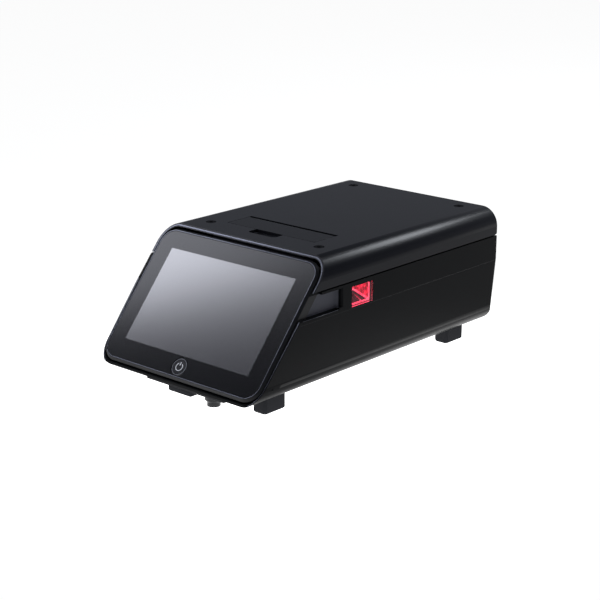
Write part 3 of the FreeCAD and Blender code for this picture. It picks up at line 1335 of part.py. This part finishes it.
def make_service_plug():
    """Soft plug over the service socket, with a bevelled right end."""
    body = new_body("service_plug")
    high = "(foot_height - plate_thick)"
    block = rectangle("plug_left", from_top("plate_front"), "plug_right", from_top("plug_rear"))
    add(body, "XY_Plane", f"{high} - plug_tall", "plug_tall", block)
    soften(body, "plug_bevel", lambda d, m, box: near(m.x, box.XMax) and m.z < box.ZMax, "Chamfer")
    soften_rim(body, "plug_bevel / 2", upper=False)
    return body


def make_front_thumbscrew():
    """Turned thumbscrew under the plate: a flange that tapers to a narrower knob."""
    body = new_body("front_thumbscrew")
    high = "(foot_height - plate_thick)"
    low = f"({high} - knob_tall)"
    shoulder = f"({high} - knob_flange_thick)"
    sketch = sketch_on(body, "XZ_Plane", f"0 - {from_top('plate_front + knob_inset')}")
    sketch.setExpression("AttachmentOffset.Base.x", sized("knob_side"))
    outline = [("0", high), ("knob_flange", high), ("knob_flange", shoulder),
               ("knob_radius", f"{shoulder} - knob_taper"), ("knob_radius", low), ("0", low)]
    draw_outline(sketch, outline)
    turned = body.newObject("PartDesign::Revolution", "front_thumbscrew_turned")
    turned.Profile = sketch
    turned.ReferenceAxis = (sketch, ["V_Axis"])
    sketch.Visibility = False
    return body


MAKERS = [
    make_top_cover, make_lower_housing, make_cover_screws,
    make_display_frame, make_cover_glass, make_lcd_panel, make_display_back, make_display_board,
    make_display_screws, make_power_button, make_switch_plunger, make_button_switch, make_button_board,
    make_scanner_window, make_scan_mirror, make_scan_engine, make_scan_light_board,
    make_cartridge_door, make_door_hinge_pins, make_door_striker, make_door_magnet, make_door_bezel,
    make_door_sensor, make_cartridge_well, make_heater_block, make_optics_block, make_optics_lens,
    make_excitation_lamp, make_read_detector, make_optics_board, make_chassis_deck,
    make_board_standoffs, make_main_board, make_board_screws, make_heat_sink, make_power_board,
    make_display_cable, make_rear_port_plate, make_dc_inlet, make_usb_ports, make_network_port,
    make_foot_screws, make_front_bracket, make_service_plug, make_front_thumbscrew,
]

FEET = {
    "foot_front_left": ("-1", "front_foot"), "foot_front_right": ("1", "front_foot"),
    "foot_rear_left": ("-1", "rear_foot"), "foot_rear_right": ("1", "rear_foot"),
}

nodes = [maker() for maker in MAKERS]
nodes += [make_foot(label, side, row) for label, (side, row) in FEET.items()]
doc.recompute()

for feature in doc.Objects:
    if "Invalid" in feature.State or "Error" in feature.State:
        raise RuntimeError(f"{feature.Name} failed: {feature.State}")
for node in nodes:
    if node.Shape.isNull() or not node.Shape.isValid():
        raise RuntimeError(f"{node.Label} has no valid shape")

os.makedirs("parts", exist_ok=True)
for node in nodes:
    node.Shape.exportStep(f"parts/{node.Label}.step")
    print(f"{node.Label}: {len(node.Shape.Solids)} solids, {node.Shape.Volume:.1f} mm3")
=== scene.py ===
import math

import bpy
import numpy as np
from mathutils import Matrix, Vector


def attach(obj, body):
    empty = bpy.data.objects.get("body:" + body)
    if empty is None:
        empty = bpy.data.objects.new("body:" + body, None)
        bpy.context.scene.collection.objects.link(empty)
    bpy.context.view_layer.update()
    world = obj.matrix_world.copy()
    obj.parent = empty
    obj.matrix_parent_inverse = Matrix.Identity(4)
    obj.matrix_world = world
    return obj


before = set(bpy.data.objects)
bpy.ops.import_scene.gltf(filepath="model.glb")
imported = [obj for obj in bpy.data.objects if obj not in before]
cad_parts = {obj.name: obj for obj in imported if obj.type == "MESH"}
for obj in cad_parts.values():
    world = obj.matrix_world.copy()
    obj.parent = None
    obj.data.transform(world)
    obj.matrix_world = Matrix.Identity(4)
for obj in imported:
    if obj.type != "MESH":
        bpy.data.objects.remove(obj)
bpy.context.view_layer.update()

# The camera stands where the photograph was taken from: at the right front corner and a little
# above, with a long lens. Its place and its three directions were worked out from straight edges.
lens = bpy.data.cameras.new("camera_lens")
lens.lens = 94.5
lens.sensor_width = 36
lens.clip_start = 0.05
lens.clip_end = 20
camera = bpy.data.objects.new("camera", lens)
bpy.context.scene.collection.objects.link(camera)
right = Vector((0.74723, 0.66456, 0.00378))
up = Vector((-0.197, 0.21606, 0.9563))
back = Vector((0.6347, -0.71532, 0.29236))
stand = (0.68276, -0.77322, 0.35397)
turn = Matrix((right, up, back)).transposed()
camera.matrix_world = Matrix.Translation(stand) @ turn.to_4x4()
bpy.context.scene.camera = camera


# The case is aluminium sheet, folded, welded and powder coated in satin black. The cover, the tray
# and the door have the same coat: nearly black, with a fine orange peel that softens reflections.
# The tray's copy of it is darker and duller, which paints shade on its sides.
# The brake leaves every fold and cut edge slightly round, which the bevels here give.
def srgb(text):
    """Linear colour of an sRGB hex value: a share of it near black, a power of it above that."""
    parts = np.array([int(text[i:i + 2], 16) / 255 for i in (1, 3, 5)])
    linear = np.where(parts <= 0.04045, parts / 12.92, ((parts + 0.055) / 1.055) ** 2.4)
    return (*linear, 1.0)


def add_node(material, kind, settings=None, **sockets):
    """Adds a node; a socket's name has underscores for spaces, and takes a number or an output."""
    made = material.node_tree.nodes.new(kind)
    for name, chosen in (settings or {}).items():
        setattr(made, name, chosen)
    for name, source in sockets.items():
        key = int(name[1:]) if name[1:].isdigit() else name.replace("_", " ")
        socket = made.inputs[key]
        if isinstance(source, bpy.types.NodeSocket):
            material.node_tree.links.new(source, socket)
        else:
            socket.default_value = source
    return made


def new_material(name):
    """Material with an empty node tree and its output."""
    material = bpy.data.materials.new(name)
    material.use_nodes = True
    material.node_tree.nodes.clear()
    add_node(material, "ShaderNodeOutputMaterial")
    return material


def finish_material(material, shader):
    """Joins a shader to the material's output."""
    output = material.node_tree.nodes["Material Output"]
    material.node_tree.links.new(shader.outputs[0], output.inputs["Surface"])
    return material


def paint(names, material):
    """Gives CAD nodes one material."""
    for name in names:
        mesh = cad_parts[name].data
        mesh.materials.clear()
        mesh.materials.append(material)


def within(material, place, low, high):
    """One inside a box given by two corners in millimetres, nought outside it."""
    parts = add_node(material, "ShaderNodeSeparateXYZ", Vector=place)
    share = 1.0
    for axis in range(3):
        middle = (low[axis] + high[axis]) / 2 / 1000
        half = (high[axis] - low[axis]) / 2 / 1000
        near = add_node(material, "ShaderNodeMath", {"operation": "COMPARE"},
                        _0=parts.outputs[axis], _1=middle, _2=half)
        share = add_node(material, "ShaderNodeMath", {"operation": "MULTIPLY"},
                         _0=near.outputs[0], _1=share).outputs[0]
    return share


def grained(name, dark, light, rough_low, rough_high, grain_mm, depth_mm, patch=None, **plain):
    """Surface whose colour drifts between two tones and whose fine grain roughens and dents it.

    A patch is a box, as its two corners, and the colour that the surface has inside it.
    """
    drift_mm = 45
    material = new_material(name)
    place = add_node(material, "ShaderNodeTexCoord").outputs["Object"]
    drift = add_node(material, "ShaderNodeTexNoise", Vector=place, Scale=1000 / drift_mm,
                     Detail=4.0)
    grain = add_node(material, "ShaderNodeTexNoise", Vector=place, Scale=1000 / grain_mm,
                     Detail=2.0)
    tone = add_node(material, "ShaderNodeMix", {"data_type": "RGBA"}, Factor=drift.outputs[0],
                    _6=srgb(dark), _7=srgb(light))
    if patch:
        low, high, colour = patch
        tone = add_node(material, "ShaderNodeMix", {"data_type": "RGBA"},
                        Factor=within(material, place, low, high), _6=tone.outputs[2],
                        _7=srgb(colour))
    rough = add_node(material, "ShaderNodeMapRange", Value=grain.outputs[0],
                     To_Min=rough_low, To_Max=rough_high)
    dents = add_node(material, "ShaderNodeBump", Height=grain.outputs[0], Strength=1.0,
                     Distance=depth_mm / 1000)
    shader = add_node(material, "ShaderNodeBsdfPrincipled", Base_Color=tone.outputs[2],
                      Roughness=rough.outputs[0], Normal=dents.outputs[0], **plain)
    return finish_material(material, shader)


def round_edges(names, width_mm, segments=3):
    """Joins a node's loose triangles and rounds its sharp edges a little."""
    for name in names:
        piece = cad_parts[name]
        weld = piece.modifiers.new("joined", "WELD")
        weld.merge_threshold = 0.00001
        flat = piece.modifiers.new("flat_faces", "DECIMATE")
        flat.decimate_type = "DISSOLVE"
        flat.angle_limit = math.radians(0.6)
        bevel = piece.modifiers.new("round_edges", "BEVEL")
        bevel.width = width_mm / 1000
        bevel.segments = segments
        bevel.limit_method = "ANGLE"
        bevel.angle_limit = math.radians(32)
        bevel.use_clamp_overlap = True
        bevel.harden_normals = True


paint(["top_cover", "front_bracket"],
      grained("satin_powder_coat", "#111216", "#16171c", 0.28, 0.35, 0.8, 0.003,
              Specular_IOR_Level=0.09))
# The tray's grip recess is painted lighter than the rest of its coat: painted light in a recess
# that lies in shade.
grip_recess_painted_light = ((68.5, -105.0, 59.0), (71.6, -46.6, 71.9), "#484950")
# The tray's coat is a darker, duller copy of the cover's: painted shade on its sides.
paint(["lower_housing"],
      grained("tray_coat_painted_shade", "#08090b", "#0d0e10", 0.3, 0.37, 0.8, 0.003, grip_recess_painted_light,
              Specular_IOR_Level=0.035))
paint(["cartridge_door"],
      grained("door_powder_coat", "#101115", "#15161a", 0.3, 0.38, 0.8, 0.003,
              Specular_IOR_Level=0.08))
round_edges(["top_cover", "lower_housing"], 0.6)
round_edges(["cartridge_door", "front_bracket"], 0.3)


# The display frame is a die casting in the same black, with a gloss that draws a fine line of light
# along its bevel. It drops into the slope and carries the glass.
paint(["display_frame"],
      grained("cast_frame_coat", "#121316", "#17181b", 0.26, 0.34, 0.6, 0.002,
              Specular_IOR_Level=0.15))
round_edges(["display_frame"], 0.35)


# The glass is etched against glare and printed black on its back. The round button breaks through
# its lower middle. The clear area over the panel follows as a film of its own.
paint(["cover_glass", "lcd_panel"],
      grained("etched_glass_over_black", "#0d0e11", "#111216", 0.21, 0.25, 0.9, 0.0002,
              Specular_IOR_Level=0.25))
paint(["power_button"],
      grained("button_gloss_moulding", "#191a1e", "#1e1f23", 0.2, 0.27, 0.5, 0.001))


# The window is clear red acrylic, snapped into the tray's side. Behind it a strip mirror stands
# aslant and turns the beam of the scan engine outwards, and its wedge glows with painted light in
# place of the red aiming lamps.
def clear_acrylic():
    """Clear red acrylic with a faint haze."""
    haze_mm = 9
    material = new_material("clear_red_acrylic")
    place = add_node(material, "ShaderNodeTexCoord").outputs["Object"]
    haze = add_node(material, "ShaderNodeTexNoise", Vector=place, Scale=1000 / haze_mm, Detail=2.0)
    rough = add_node(material, "ShaderNodeMapRange", Value=haze.outputs[0],
                     To_Min=0.02, To_Max=0.06)
    tone = add_node(material, "ShaderNodeMix", {"data_type": "RGBA"}, Factor=haze.outputs[0],
                    _6=srgb("#f07088"), _7=srgb("#f47c92"))
    shader = add_node(material, "ShaderNodeBsdfPrincipled", Base_Color=tone.outputs[2], IOR=1.2,
                      Transmission_Weight=0.95, Roughness=rough.outputs[0],
                      Specular_IOR_Level=0.08)
    return finish_material(material, shader)


paint(["scanner_window"], clear_acrylic())
round_edges(["scanner_window"], 0.3)


# The cover's screws are steel with a dull black oxide. The small screws, the hinge pins and the
# striker are zinc plated, and blocks and standoffs are turned or milled, with fine lines left.
def turned_steel(name, dark, light, rough_low, rough_high, line_mm):
    """Metal with fine turning lines across its height."""
    material = new_material(name)
    place = add_node(material, "ShaderNodeTexCoord").outputs["Object"]
    stretched = add_node(material, "ShaderNodeMapping", Vector=place, Scale=(0.15, 0.15, 1.0))
    lines = add_node(material, "ShaderNodeTexNoise", Vector=stretched.outputs[0],
                     Scale=1000 / line_mm, Detail=3.0)
    tone = add_node(material, "ShaderNodeMix", {"data_type": "RGBA"}, Factor=lines.outputs[0],
                    _6=srgb(dark), _7=srgb(light))
    rough = add_node(material, "ShaderNodeMapRange", Value=lines.outputs[0],
                     To_Min=rough_low, To_Max=rough_high)
    shader = add_node(material, "ShaderNodeBsdfPrincipled", Base_Color=tone.outputs[2],
                      Metallic=1.0, Roughness=rough.outputs[0])
    return finish_material(material, shader)


paint(["cover_screws"],
      grained("black_oxide_steel", "#070709", "#0c0c0f", 0.35, 0.45, 0.3, 0.002,
              Specular_IOR_Level=0.015))
round_edges(["cover_screws"], 0.12, 2)
paint(["foot_screws", "board_screws", "display_screws", "door_hinge_pins", "door_striker",
       "read_detector"],
      turned_steel("zinc_plated_steel", "#8c8e92", "#a6a8ab", 0.25, 0.4, 0.3))
paint(["display_back", "chassis_deck", "usb_ports", "network_port"],
      turned_steel("bare_steel_sheet", "#9a9c9f", "#abadb0", 0.35, 0.5, 0.6))
paint(["heater_block", "optics_block", "heat_sink"],
      turned_steel("machined_aluminium", "#b9bbbe", "#cfd1d3", 0.25, 0.38, 0.25))
paint(["board_standoffs", "excitation_lamp"],
      turned_steel("turned_brass", "#b8944a", "#cfae62", 0.2, 0.33, 0.25))
paint(["door_magnet"], turned_steel("plated_magnet", "#b9b8b0", "#cac9c2", 0.12, 0.2, 0.4))
paint(["scan_mirror"], turned_steel("silvered_strip", "#e4e5e8", "#eeeef0", 0.02, 0.05, 2.0))


# Mouldings: fine-grained dark plastic for the bezel, plugs and sockets, grey for the heated well,
# soft rubber for the feet and the plug, green laminate for the boards, amber film for the cable.
# The bezel's moulding, shared by the small parts inside, has a mid grey instead of its dark tone:
# painted light that lifts the thumb scoop out of its shade.
paint(["door_bezel", "door_sensor", "switch_plunger", "button_switch", "scan_engine"],
      grained("grained_moulding_painted_lighter", "#505157", "#5a5b61", 0.42, 0.55, 0.35, 0.006,
              Specular_IOR_Level=0.15))
paint(["rear_port_plate", "dc_inlet"],
      grained("rear_plate_moulding", "#17181b", "#1d1e22", 0.42, 0.55, 0.35, 0.006,
              Specular_IOR_Level=0.15))
paint(["front_thumbscrew"],
      grained("knob_moulding", "#111215", "#17181b", 0.3, 0.42, 0.4, 0.003,
              Specular_IOR_Level=0.25))
paint(["cartridge_well"],
      grained("heat_proof_grey_moulding", "#6e7074", "#7b7d81", 0.4, 0.52, 0.4, 0.005))
rubber_pieces = ["foot_front_left", "foot_front_right", "foot_rear_left", "foot_rear_right",
                 "service_plug"]
paint(rubber_pieces,
      grained("moulded_foot_rubber", "#202124", "#28292c", 0.55, 0.7, 0.5, 0.01,
              Specular_IOR_Level=0.03))
round_edges(rubber_pieces, 0.4)
paint(["display_board", "button_board", "scan_light_board", "optics_board", "main_board",
       "power_board"],
      grained("green_board_laminate", "#0f5a35", "#14683e", 0.3, 0.42, 0.9, 0.01))
paint(["display_cable"],
      grained("amber_cable_film", "#b8791e", "#c98a2c", 0.25, 0.36, 0.6, 0.004))
paint(["optics_lens"],
      grained("coated_lens_glass", "#1c2430", "#242c3a", 0.03, 0.06, 3.0, 0.0005))


# The clear area of the glass shows the grey polariser of the unlit panel. It is a film laid in the
# face of the glass, with its corners a little round, and it glints more than the black print.
CASE_TOP = 93.1
SLOPE_RUN, SLOPE_FALL = 0.642788, 0.766044
DISPLAY_RIGHT = Vector((1, 0, 0))
DISPLAY_DOWN = Vector((0, -SLOPE_RUN, -SLOPE_FALL))
DISPLAY_OUT = Vector((0, -SLOPE_FALL, SLOPE_RUN))
DISPLAY_START = Vector((0, -0.0565, CASE_TOP / 1000))


def on_display(across, down, out):
    """Point in metres from millimetres across the display, down its slope and out of it."""
    step = DISPLAY_RIGHT * across + DISPLAY_DOWN * down + DISPLAY_OUT * out
    return DISPLAY_START + step / 1000


def sheet_mesh(name, rows, material, closed, body, smooth=True):
    """Surface through rows of points; each row becomes a line of the grid, closed rows join up."""
    count = len(rows[0])
    points = [tuple(point) for row in rows for point in row]
    faces = []
    for line in range(len(rows) - 1):
        for step in range(count if closed else count - 1):
            following = (step + 1) % count
            faces.append((line * count + step, line * count + following,
                          (line + 1) * count + following, (line + 1) * count + step))
    mesh = bpy.data.meshes.new(name)
    mesh.from_pydata(points, [], faces)
    mesh.materials.append(material)
    mesh.polygons.foreach_set("use_smooth", [smooth] * len(faces))
    mesh.validate()
    made = bpy.data.objects.new(name, mesh)
    bpy.context.scene.collection.objects.link(made)
    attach(made, body)
    return made


def rounded_corners(left, right, top, bottom, radius, steps=6):
    """Outline of a rectangle with round corners, clockwise from its upper left, in millimetres."""
    line = []
    for x, y, start in ((right - radius, top + radius, 0), (right - radius, bottom - radius, 90),
                        (left + radius, bottom - radius, 180), (left + radius, top + radius, 270)):
        for step in range(steps + 1):
            angle = math.radians(start + 90 * step / steps)
            line.append((x + radius * math.sin(angle), y - radius * math.cos(angle)))
    return line


def film_on_display(name, half_width, top, bottom, radius, out, thick, material):
    """Thin film on the display's plane: its four sides and its face, which rings close inwards."""
    middle = (top + bottom) / 2
    rings = [(1.0, 0.0)] + [(share, thick) for share in (1.0, 0.75, 0.5, 0.25, 0.001)]
    outline = rounded_corners(-half_width, half_width, top, bottom, radius)
    rows = [[on_display(x * size, middle + (y - middle) * size, out + rise) for x, y in outline]
            for size, rise in rings]
    return sheet_mesh(name, rows, material, True, "housing", smooth=False)


polariser = grained("grey_polariser_film", "#212228", "#27282e", 0.23, 0.27, 0.6, 0.0002,
                    IOR=1.9, Specular_IOR_Level=0.6)
film_on_display("panel_view", half_width=55.4, top=19.1, bottom=87.8, radius=0.6, out=1.62,
                thick=0.01, material=polariser)


# The sign on the button is printed in white enamel: an open ring with an upright bar in its gap,
# and a thin grey ring round it at the button's rim. The ink stands a few hundredths proud.
BUTTON_DOWN = 95.197
BUTTON_FACE = 1.61
INK_THICK = 0.03


def ink_ring(name, inner, outer, start, end, material, steps=72):
    """Raised ring of ink on the button between two radii and two angles, clockwise from its top."""
    angles = np.radians(np.linspace(start, end, steps + 1))
    whole = end - start >= 360
    if whole:
        angles = angles[:-1]
    profile = [(inner, 0.0), (inner, INK_THICK), (outer, INK_THICK), (outer, 0.0)]
    rows = [[on_display(radius * math.sin(angle), BUTTON_DOWN - radius * math.cos(angle),
                        BUTTON_FACE + rise) for angle in angles] for radius, rise in profile]
    return sheet_mesh(name, rows, material, whole, "button", smooth=False)


def ink_bar(name, half_width, low, high, material):
    """Upright bar of ink with its four sides; its face closes on its middle."""
    corners = [(-half_width, low), (half_width, low), (half_width, high), (-half_width, high)]
    middle = (low + high) / 2
    rows = [[on_display(x * size, BUTTON_DOWN - middle - (y - middle) * size, BUTTON_FACE + rise)
             for x, y in corners]
            for size, rise in ((1.0, 0.0), (1.0, INK_THICK), (0.02, INK_THICK))]
    return sheet_mesh(name, rows, material, True, "button", smooth=False)


white_enamel = grained("white_enamel_print", "#d9dbe0", "#e6e8ec", 0.3, 0.4, 0.3, 0.001)
grey_enamel = grained("grey_enamel_print", "#6d7078", "#7a7d86", 0.3, 0.4, 0.3, 0.001)
ink_ring("sign_ring", inner=2.35, outer=2.85, start=32, end=328, material=white_enamel)
ink_ring("rim_ring", inner=5.35, outer=5.62, start=0, end=360, material=grey_enamel)
ink_bar("sign_bar", half_width=0.27, low=0.9, high=3.3, material=white_enamel)


# Where the cover is cut along the slope, a fine bright line runs round the display, and the casting
# has such a line beside the glass. Both are painted highlights: strips of bright metal laid on the
# black coat where its edges catch the light.
CASE_HALF_WIDTH = 73.0
COVER_ROUND = 13.0
LINE_RISE = 0.03


def frame_outline(inset):
    """Outline of the display frame, drawn in by an inset, in millimetres across and down."""
    half_width, top, bottom, corner = 70.2, 4.4, 103.9, 12
    return rounded_corners(-half_width + inset, half_width - inset, top + inset, bottom - inset,
                           corner - inset, 10)


def down_slope(points):
    """Points across and up the case, in millimetres, as points across and down the slope."""
    return [(x, (CASE_TOP - z) / SLOPE_FALL) for x, z in points]


def cover_outline(inset, steps=16):
    """The cover's section where the slope cuts it, from its right lower end to its left one."""
    cover_low = 73.9
    middle, spring = CASE_HALF_WIDTH - COVER_ROUND, CASE_TOP - COVER_ROUND
    radius = COVER_ROUND - inset
    line = [(CASE_HALF_WIDTH - inset, cover_low), (CASE_HALF_WIDTH - inset, spring)]
    for step in range(1, steps + 1):
        angle = math.radians(90 * step / steps)
        line.append((middle + radius * math.cos(angle), spring + radius * math.sin(angle)))
    return down_slope(line + [(-x, z) for x, z in reversed(line)])


def cut_line(name, outline, start, end, flank, base, closed, side=1):
    """Strip between two insets of an outline, its middle a little proud; side -1 mirrors it."""
    rows = [[on_display(side * x, y, out) for x, y in outline(inset)]
            for inset, out in ((start, base), (start + flank, base + LINE_RISE),
                               (end - flank, base + LINE_RISE), (end, base))]
    return sheet_mesh(name, rows if side > 0 else rows[::-1], highlight_strip, closed, "housing")


# Painted highlight: bright metal for the strips that stand in for light on the cut edges.
highlight_strip = turned_steel("painted_highlight_line", "#4c4e56", "#5c5e66", 0.34, 0.46, 0.3)
cut_line("frame_bright_line", frame_outline, start=1.62, end=2.11, flank=0.06, base=1.70,
         closed=True)
cut_line("cover_bright_line", cover_outline, start=0.75, end=1.55, flank=0.05, base=0.0,
         closed=False)


# The tray's outer edges get fine light lines of painted highlight: along its top below the
# seam, along the lower edge of the grip recess, where it is cut along the slope, and at its fold.
def edge_bead(name, x, z, front, rear, radius, material, sides=8):
    """Thin round line with closed ends, sunk in an edge that runs from front to rear, in mm."""
    rows = []
    for y, size in ((front, radius / 1000), (front, radius), (rear, radius), (rear, radius / 1000)):
        rows.append([((x + size * math.cos(2 * math.pi * step / sides)) / 1000, y / 1000,
                      (z - size * math.sin(2 * math.pi * step / sides)) / 1000)
                     for step in range(sides)])
    return sheet_mesh(name, rows, material, True, "housing")


def tray_outline(inset):
    """The tray's right side where the slope cuts it, from its top down into its lower round."""
    line = [(CASE_HALF_WIDTH, 58.4), (CASE_HALF_WIDTH, 56.7), (71.85, 23.7)]
    middle, spring, radius = 58.85, 23.5, 13
    for degrees in (-15, -30, -45, -60):
        angle = math.radians(degrees)
        line.append((middle + radius * math.cos(angle), spring + radius * math.sin(angle)))
    return down_slope([(x - inset, z) for x, z in line])


TRAY_REAR = 121.0
edge_highlight_coat = grained("painted_edge_highlight", "#3c3e44", "#4a4c53", 0.3, 0.4, 0.5, 0.002)
fold_highlight_coat = grained("painted_fold_highlight", "#191a1d", "#222327", 0.3, 0.4, 0.5, 0.002)
for side, word in ((1, "right"), (-1, "left")):
    edge_bead(f"tray_top_line_{word}", x=72.72 * side, z=73.12, front=-64.9, rear=TRAY_REAR,
              radius=0.26, material=edge_highlight_coat)
    edge_bead(f"tray_fold_line_{word}", x=72.83 * side, z=55.9, front=-85.0, rear=TRAY_REAR,
              radius=0.16, material=fold_highlight_coat)
    cut_line(f"tray_cut_line_{word}", tray_outline, start=0.5, end=1.2, flank=0.05, base=0.0,
             closed=False, side=side)
edge_bead("grip_edge_line", x=72.71, z=58.05, front=-83.0, rear=-48.8, radius=0.28,
          material=edge_highlight_coat)


# Behind the red window is a wedge of clear acrylic, with light and shade painted on it in place of
# the aiming lamps: its upper half glows, its lower half is a dark sheet of painted shade, and the
# ridge between them and the window's rim glow brightest as painted highlights.
WINDOW_FACE = 69.3
WINDOW_FRONT, WINDOW_LENGTH = -36.1, 20.8
WINDOW_LOW, WINDOW_HEIGHT = 56.9, 13.4


def glowing(name, dark, light, strength, patch_mm):
    """Red plastic that glows in patches: painted light, from emission, in place of lamps behind it.
    """
    material = new_material(name)
    place = add_node(material, "ShaderNodeTexCoord").outputs["Object"]
    patch = add_node(material, "ShaderNodeTexNoise", Vector=place, Scale=1000 / patch_mm,
                     Detail=3.0)
    spread = add_node(material, "ShaderNodeMapRange", Value=patch.outputs[0],
                      From_Min=0.38, From_Max=0.62)
    tone = add_node(material, "ShaderNodeMix", {"data_type": "RGBA"}, Factor=spread.outputs[0],
                    _6=srgb(dark), _7=srgb(light))
    shader = add_node(material, "ShaderNodeBsdfPrincipled", Base_Color=tone.outputs[2],
                      Roughness=0.4, Emission_Color=tone.outputs[2], Emission_Strength=strength,
                      Specular_IOR_Level=0.1)
    return finish_material(material, shader)


def behind_window(along, height, depth):
    """Point behind the window from shares of its length and height, and a depth in millimetres."""
    return ((WINDOW_FACE - depth) / 1000, (WINDOW_FRONT + WINDOW_LENGTH * along) / 1000,
            (WINDOW_LOW + WINDOW_HEIGHT * height) / 1000)


glow = glowing("painted_glow_wedge", "#7a0a28", "#ff5c88", 0.95, 3.0)
shade = glowing("painted_shade_wedge", "#120104", "#2a030c", 0.05, 5.0)
ridge = glowing("painted_glow_edge", "#ff7898", "#ffc4d2", 1.5, 2.0)
for name, material, rows in (
        ("wedge_painted_glow_half", glow, [[(0, 1, 0.6), (1, 0, 0.6)], [(0.5, 1, 1.4), (1, 0.5, 1.4)],
                                  [(0.999, 1, 2.0), (1, 0.999, 2.0)]]),
        ("wedge_painted_shade_half", shade, [[(1, 0, 0.6), (0, 1, 0.6)], [(0.5, 0, 1.6), (0, 0.5, 1.6)],
                                    [(0.001, 0, 2.2), (0, 0.001, 2.2)]]),
        ("wedge_ridge", ridge, [[(0.0, 0.96, 0.6), (0.96, 0, 0.6)],
                                [(0.02, 1, 0.3), (1, 0.04, 0.3)],
                                [(0.06, 1, 0.6), (1, 0.09, 0.6)]])):
    sheet_mesh(name, [[behind_window(*place) for place in row] for row in rows], material, False,
               "housing", smooth=False)
window_ring = []
for inset, depth in ((0.0, 0.3), (0.035, 0.1), (0.07, 0.3)):
    tall = inset * 1.5
    window_ring.append([behind_window(along, height, depth) for along, height in
                        ((inset, tall), (1 - inset, tall), (1 - inset, 1 - tall),
                         (inset, 1 - tall))])
sheet_mesh("window_painted_glow_rim", window_ring, ridge, True, "housing", smooth=False)


# The studio: a pale floor that runs on without an edge and glows a little, so that shadows stay
# faint, a soft light above the rear right, one at the upper left that the display mirrors, and a
# weak one in front.
def floor_material():
    """Pale lit paper with a faint mottle, which glows most round the reader."""
    glow_half = (0.14, 0.2)
    material = new_material("pale_paper")
    place = add_node(material, "ShaderNodeTexCoord").outputs["Object"]
    mottle = add_node(material, "ShaderNodeTexNoise", Vector=place, Scale=6.0, Detail=2.0)
    tone = add_node(material, "ShaderNodeMix", {"data_type": "RGBA"}, Factor=mottle.outputs[0],
                    _6=srgb("#555555"), _7=srgb("#5a5a5a"))
    narrowed = add_node(material, "ShaderNodeMapping", Vector=place,
                        Scale=(1 / glow_half[0], 1 / glow_half[1], 1.0))
    far = add_node(material, "ShaderNodeVectorMath", {"operation": "LENGTH"},
                   _0=narrowed.outputs[0])
    glow_there = add_node(material, "ShaderNodeMapRange", {"interpolation_type": "SMOOTHSTEP"},
                          Value=far.outputs["Value"], From_Min=0.45, From_Max=1.25, To_Min=2.4,
                          To_Max=0.95)
    shader = add_node(material, "ShaderNodeBsdfPrincipled", Base_Color=tone.outputs[2],
                      Roughness=0.9, Emission_Color=(1, 1, 1, 1),
                      Emission_Strength=glow_there.outputs[0], Specular_IOR_Level=0.0)
    return finish_material(material, shader)


FLOOR_HALF = 8
floor_mesh = bpy.data.meshes.new("floor")
floor_mesh.from_pydata([(-FLOOR_HALF, -FLOOR_HALF, 0), (FLOOR_HALF, -FLOOR_HALF, 0),
                        (FLOOR_HALF, FLOOR_HALF, 0), (-FLOOR_HALF, FLOOR_HALF, 0)], [],
                       [(0, 1, 2, 3)])
floor_mesh.materials.append(floor_material())
floor = bpy.data.objects.new("floor", floor_mesh)
bpy.context.scene.collection.objects.link(floor)


def soft_light(name, place, target, width, height, power, tint):
    """Rectangular light that faces its target."""
    data = bpy.data.lights.new(name, "AREA")
    data.shape = "RECTANGLE"
    data.size, data.size_y = width, height
    data.energy = power
    data.color = tint
    light = bpy.data.objects.new(name, data)
    light.location = place
    light.rotation_euler = (Vector(target) - Vector(place)).to_track_quat("-Z", "Y").to_euler()
    bpy.context.scene.collection.objects.link(light)
    return light


def light_for_display(distance, width, inset, slope, power, tint):
    """Square light whose lower right edge, seen in the glass, crosses the display aslant.

    It stands on the mirrored sight line from the camera to the display's middle, shifted by half
    its width and the inset, so that its edge falls near that middle.
    """
    middle = on_display(0, 51.9, 1.6)
    inwards = (middle - camera.matrix_world.translation).normalized()
    outwards = inwards - 2 * inwards.dot(DISPLAY_OUT) * DISPLAY_OUT
    edge = DISPLAY_RIGHT - DISPLAY_DOWN * slope
    edge = (edge - edge.dot(outwards) * outwards).normalized()
    rise = outwards.cross(edge)
    place = middle + outwards * distance + rise * (width / 2 + inset)
    light = soft_light("display_softbox", place, middle, width, width, power, tint)
    turned = Matrix((edge, rise, outwards)).transposed().to_4x4()
    light.matrix_world = Matrix.Translation(place) @ turned
    light.visible_camera = False
    return light


cool = (0.9, 0.94, 1.0)
light_for_display(distance=0.4, width=0.26, inset=0.018, slope=0.5, power=1.3,
                  tint=(0.88, 0.9, 1.0))
soft_light("rear_softbox", place=(0.19, 1.06, 1.07), target=(0, 0, 0.08), width=0.5, height=0.42,
           power=15, tint=cool)
soft_light("front_fill", place=(1.0, -1.3, 1.5), target=(0, 0, 0.05), width=1.2, height=1.2,
           power=5, tint=cool)

# The room is pale low down and dark higher up, so that the softboxes stand out in the coat.
room = bpy.data.worlds.new("studio")
room.use_nodes = True
background = room.node_tree.nodes["Background"]
background.inputs["Color"].default_value = (0.86, 0.9, 1.0, 1)
heading = add_node(room, "ShaderNodeTexCoord").outputs["Generated"]
height = add_node(room, "ShaderNodeSeparateXYZ", Vector=heading)
paleness = add_node(room, "ShaderNodeMapRange", {"interpolation_type": "SMOOTHSTEP"},
                    Value=height.outputs[2], From_Min=0.22, From_Max=0.5, To_Min=0.32, To_Max=0.1)
room.node_tree.links.new(paleness.outputs[0], background.inputs["Strength"])
bpy.context.scene.world = room
bpy.context.scene.view_settings.view_transform = "Standard"
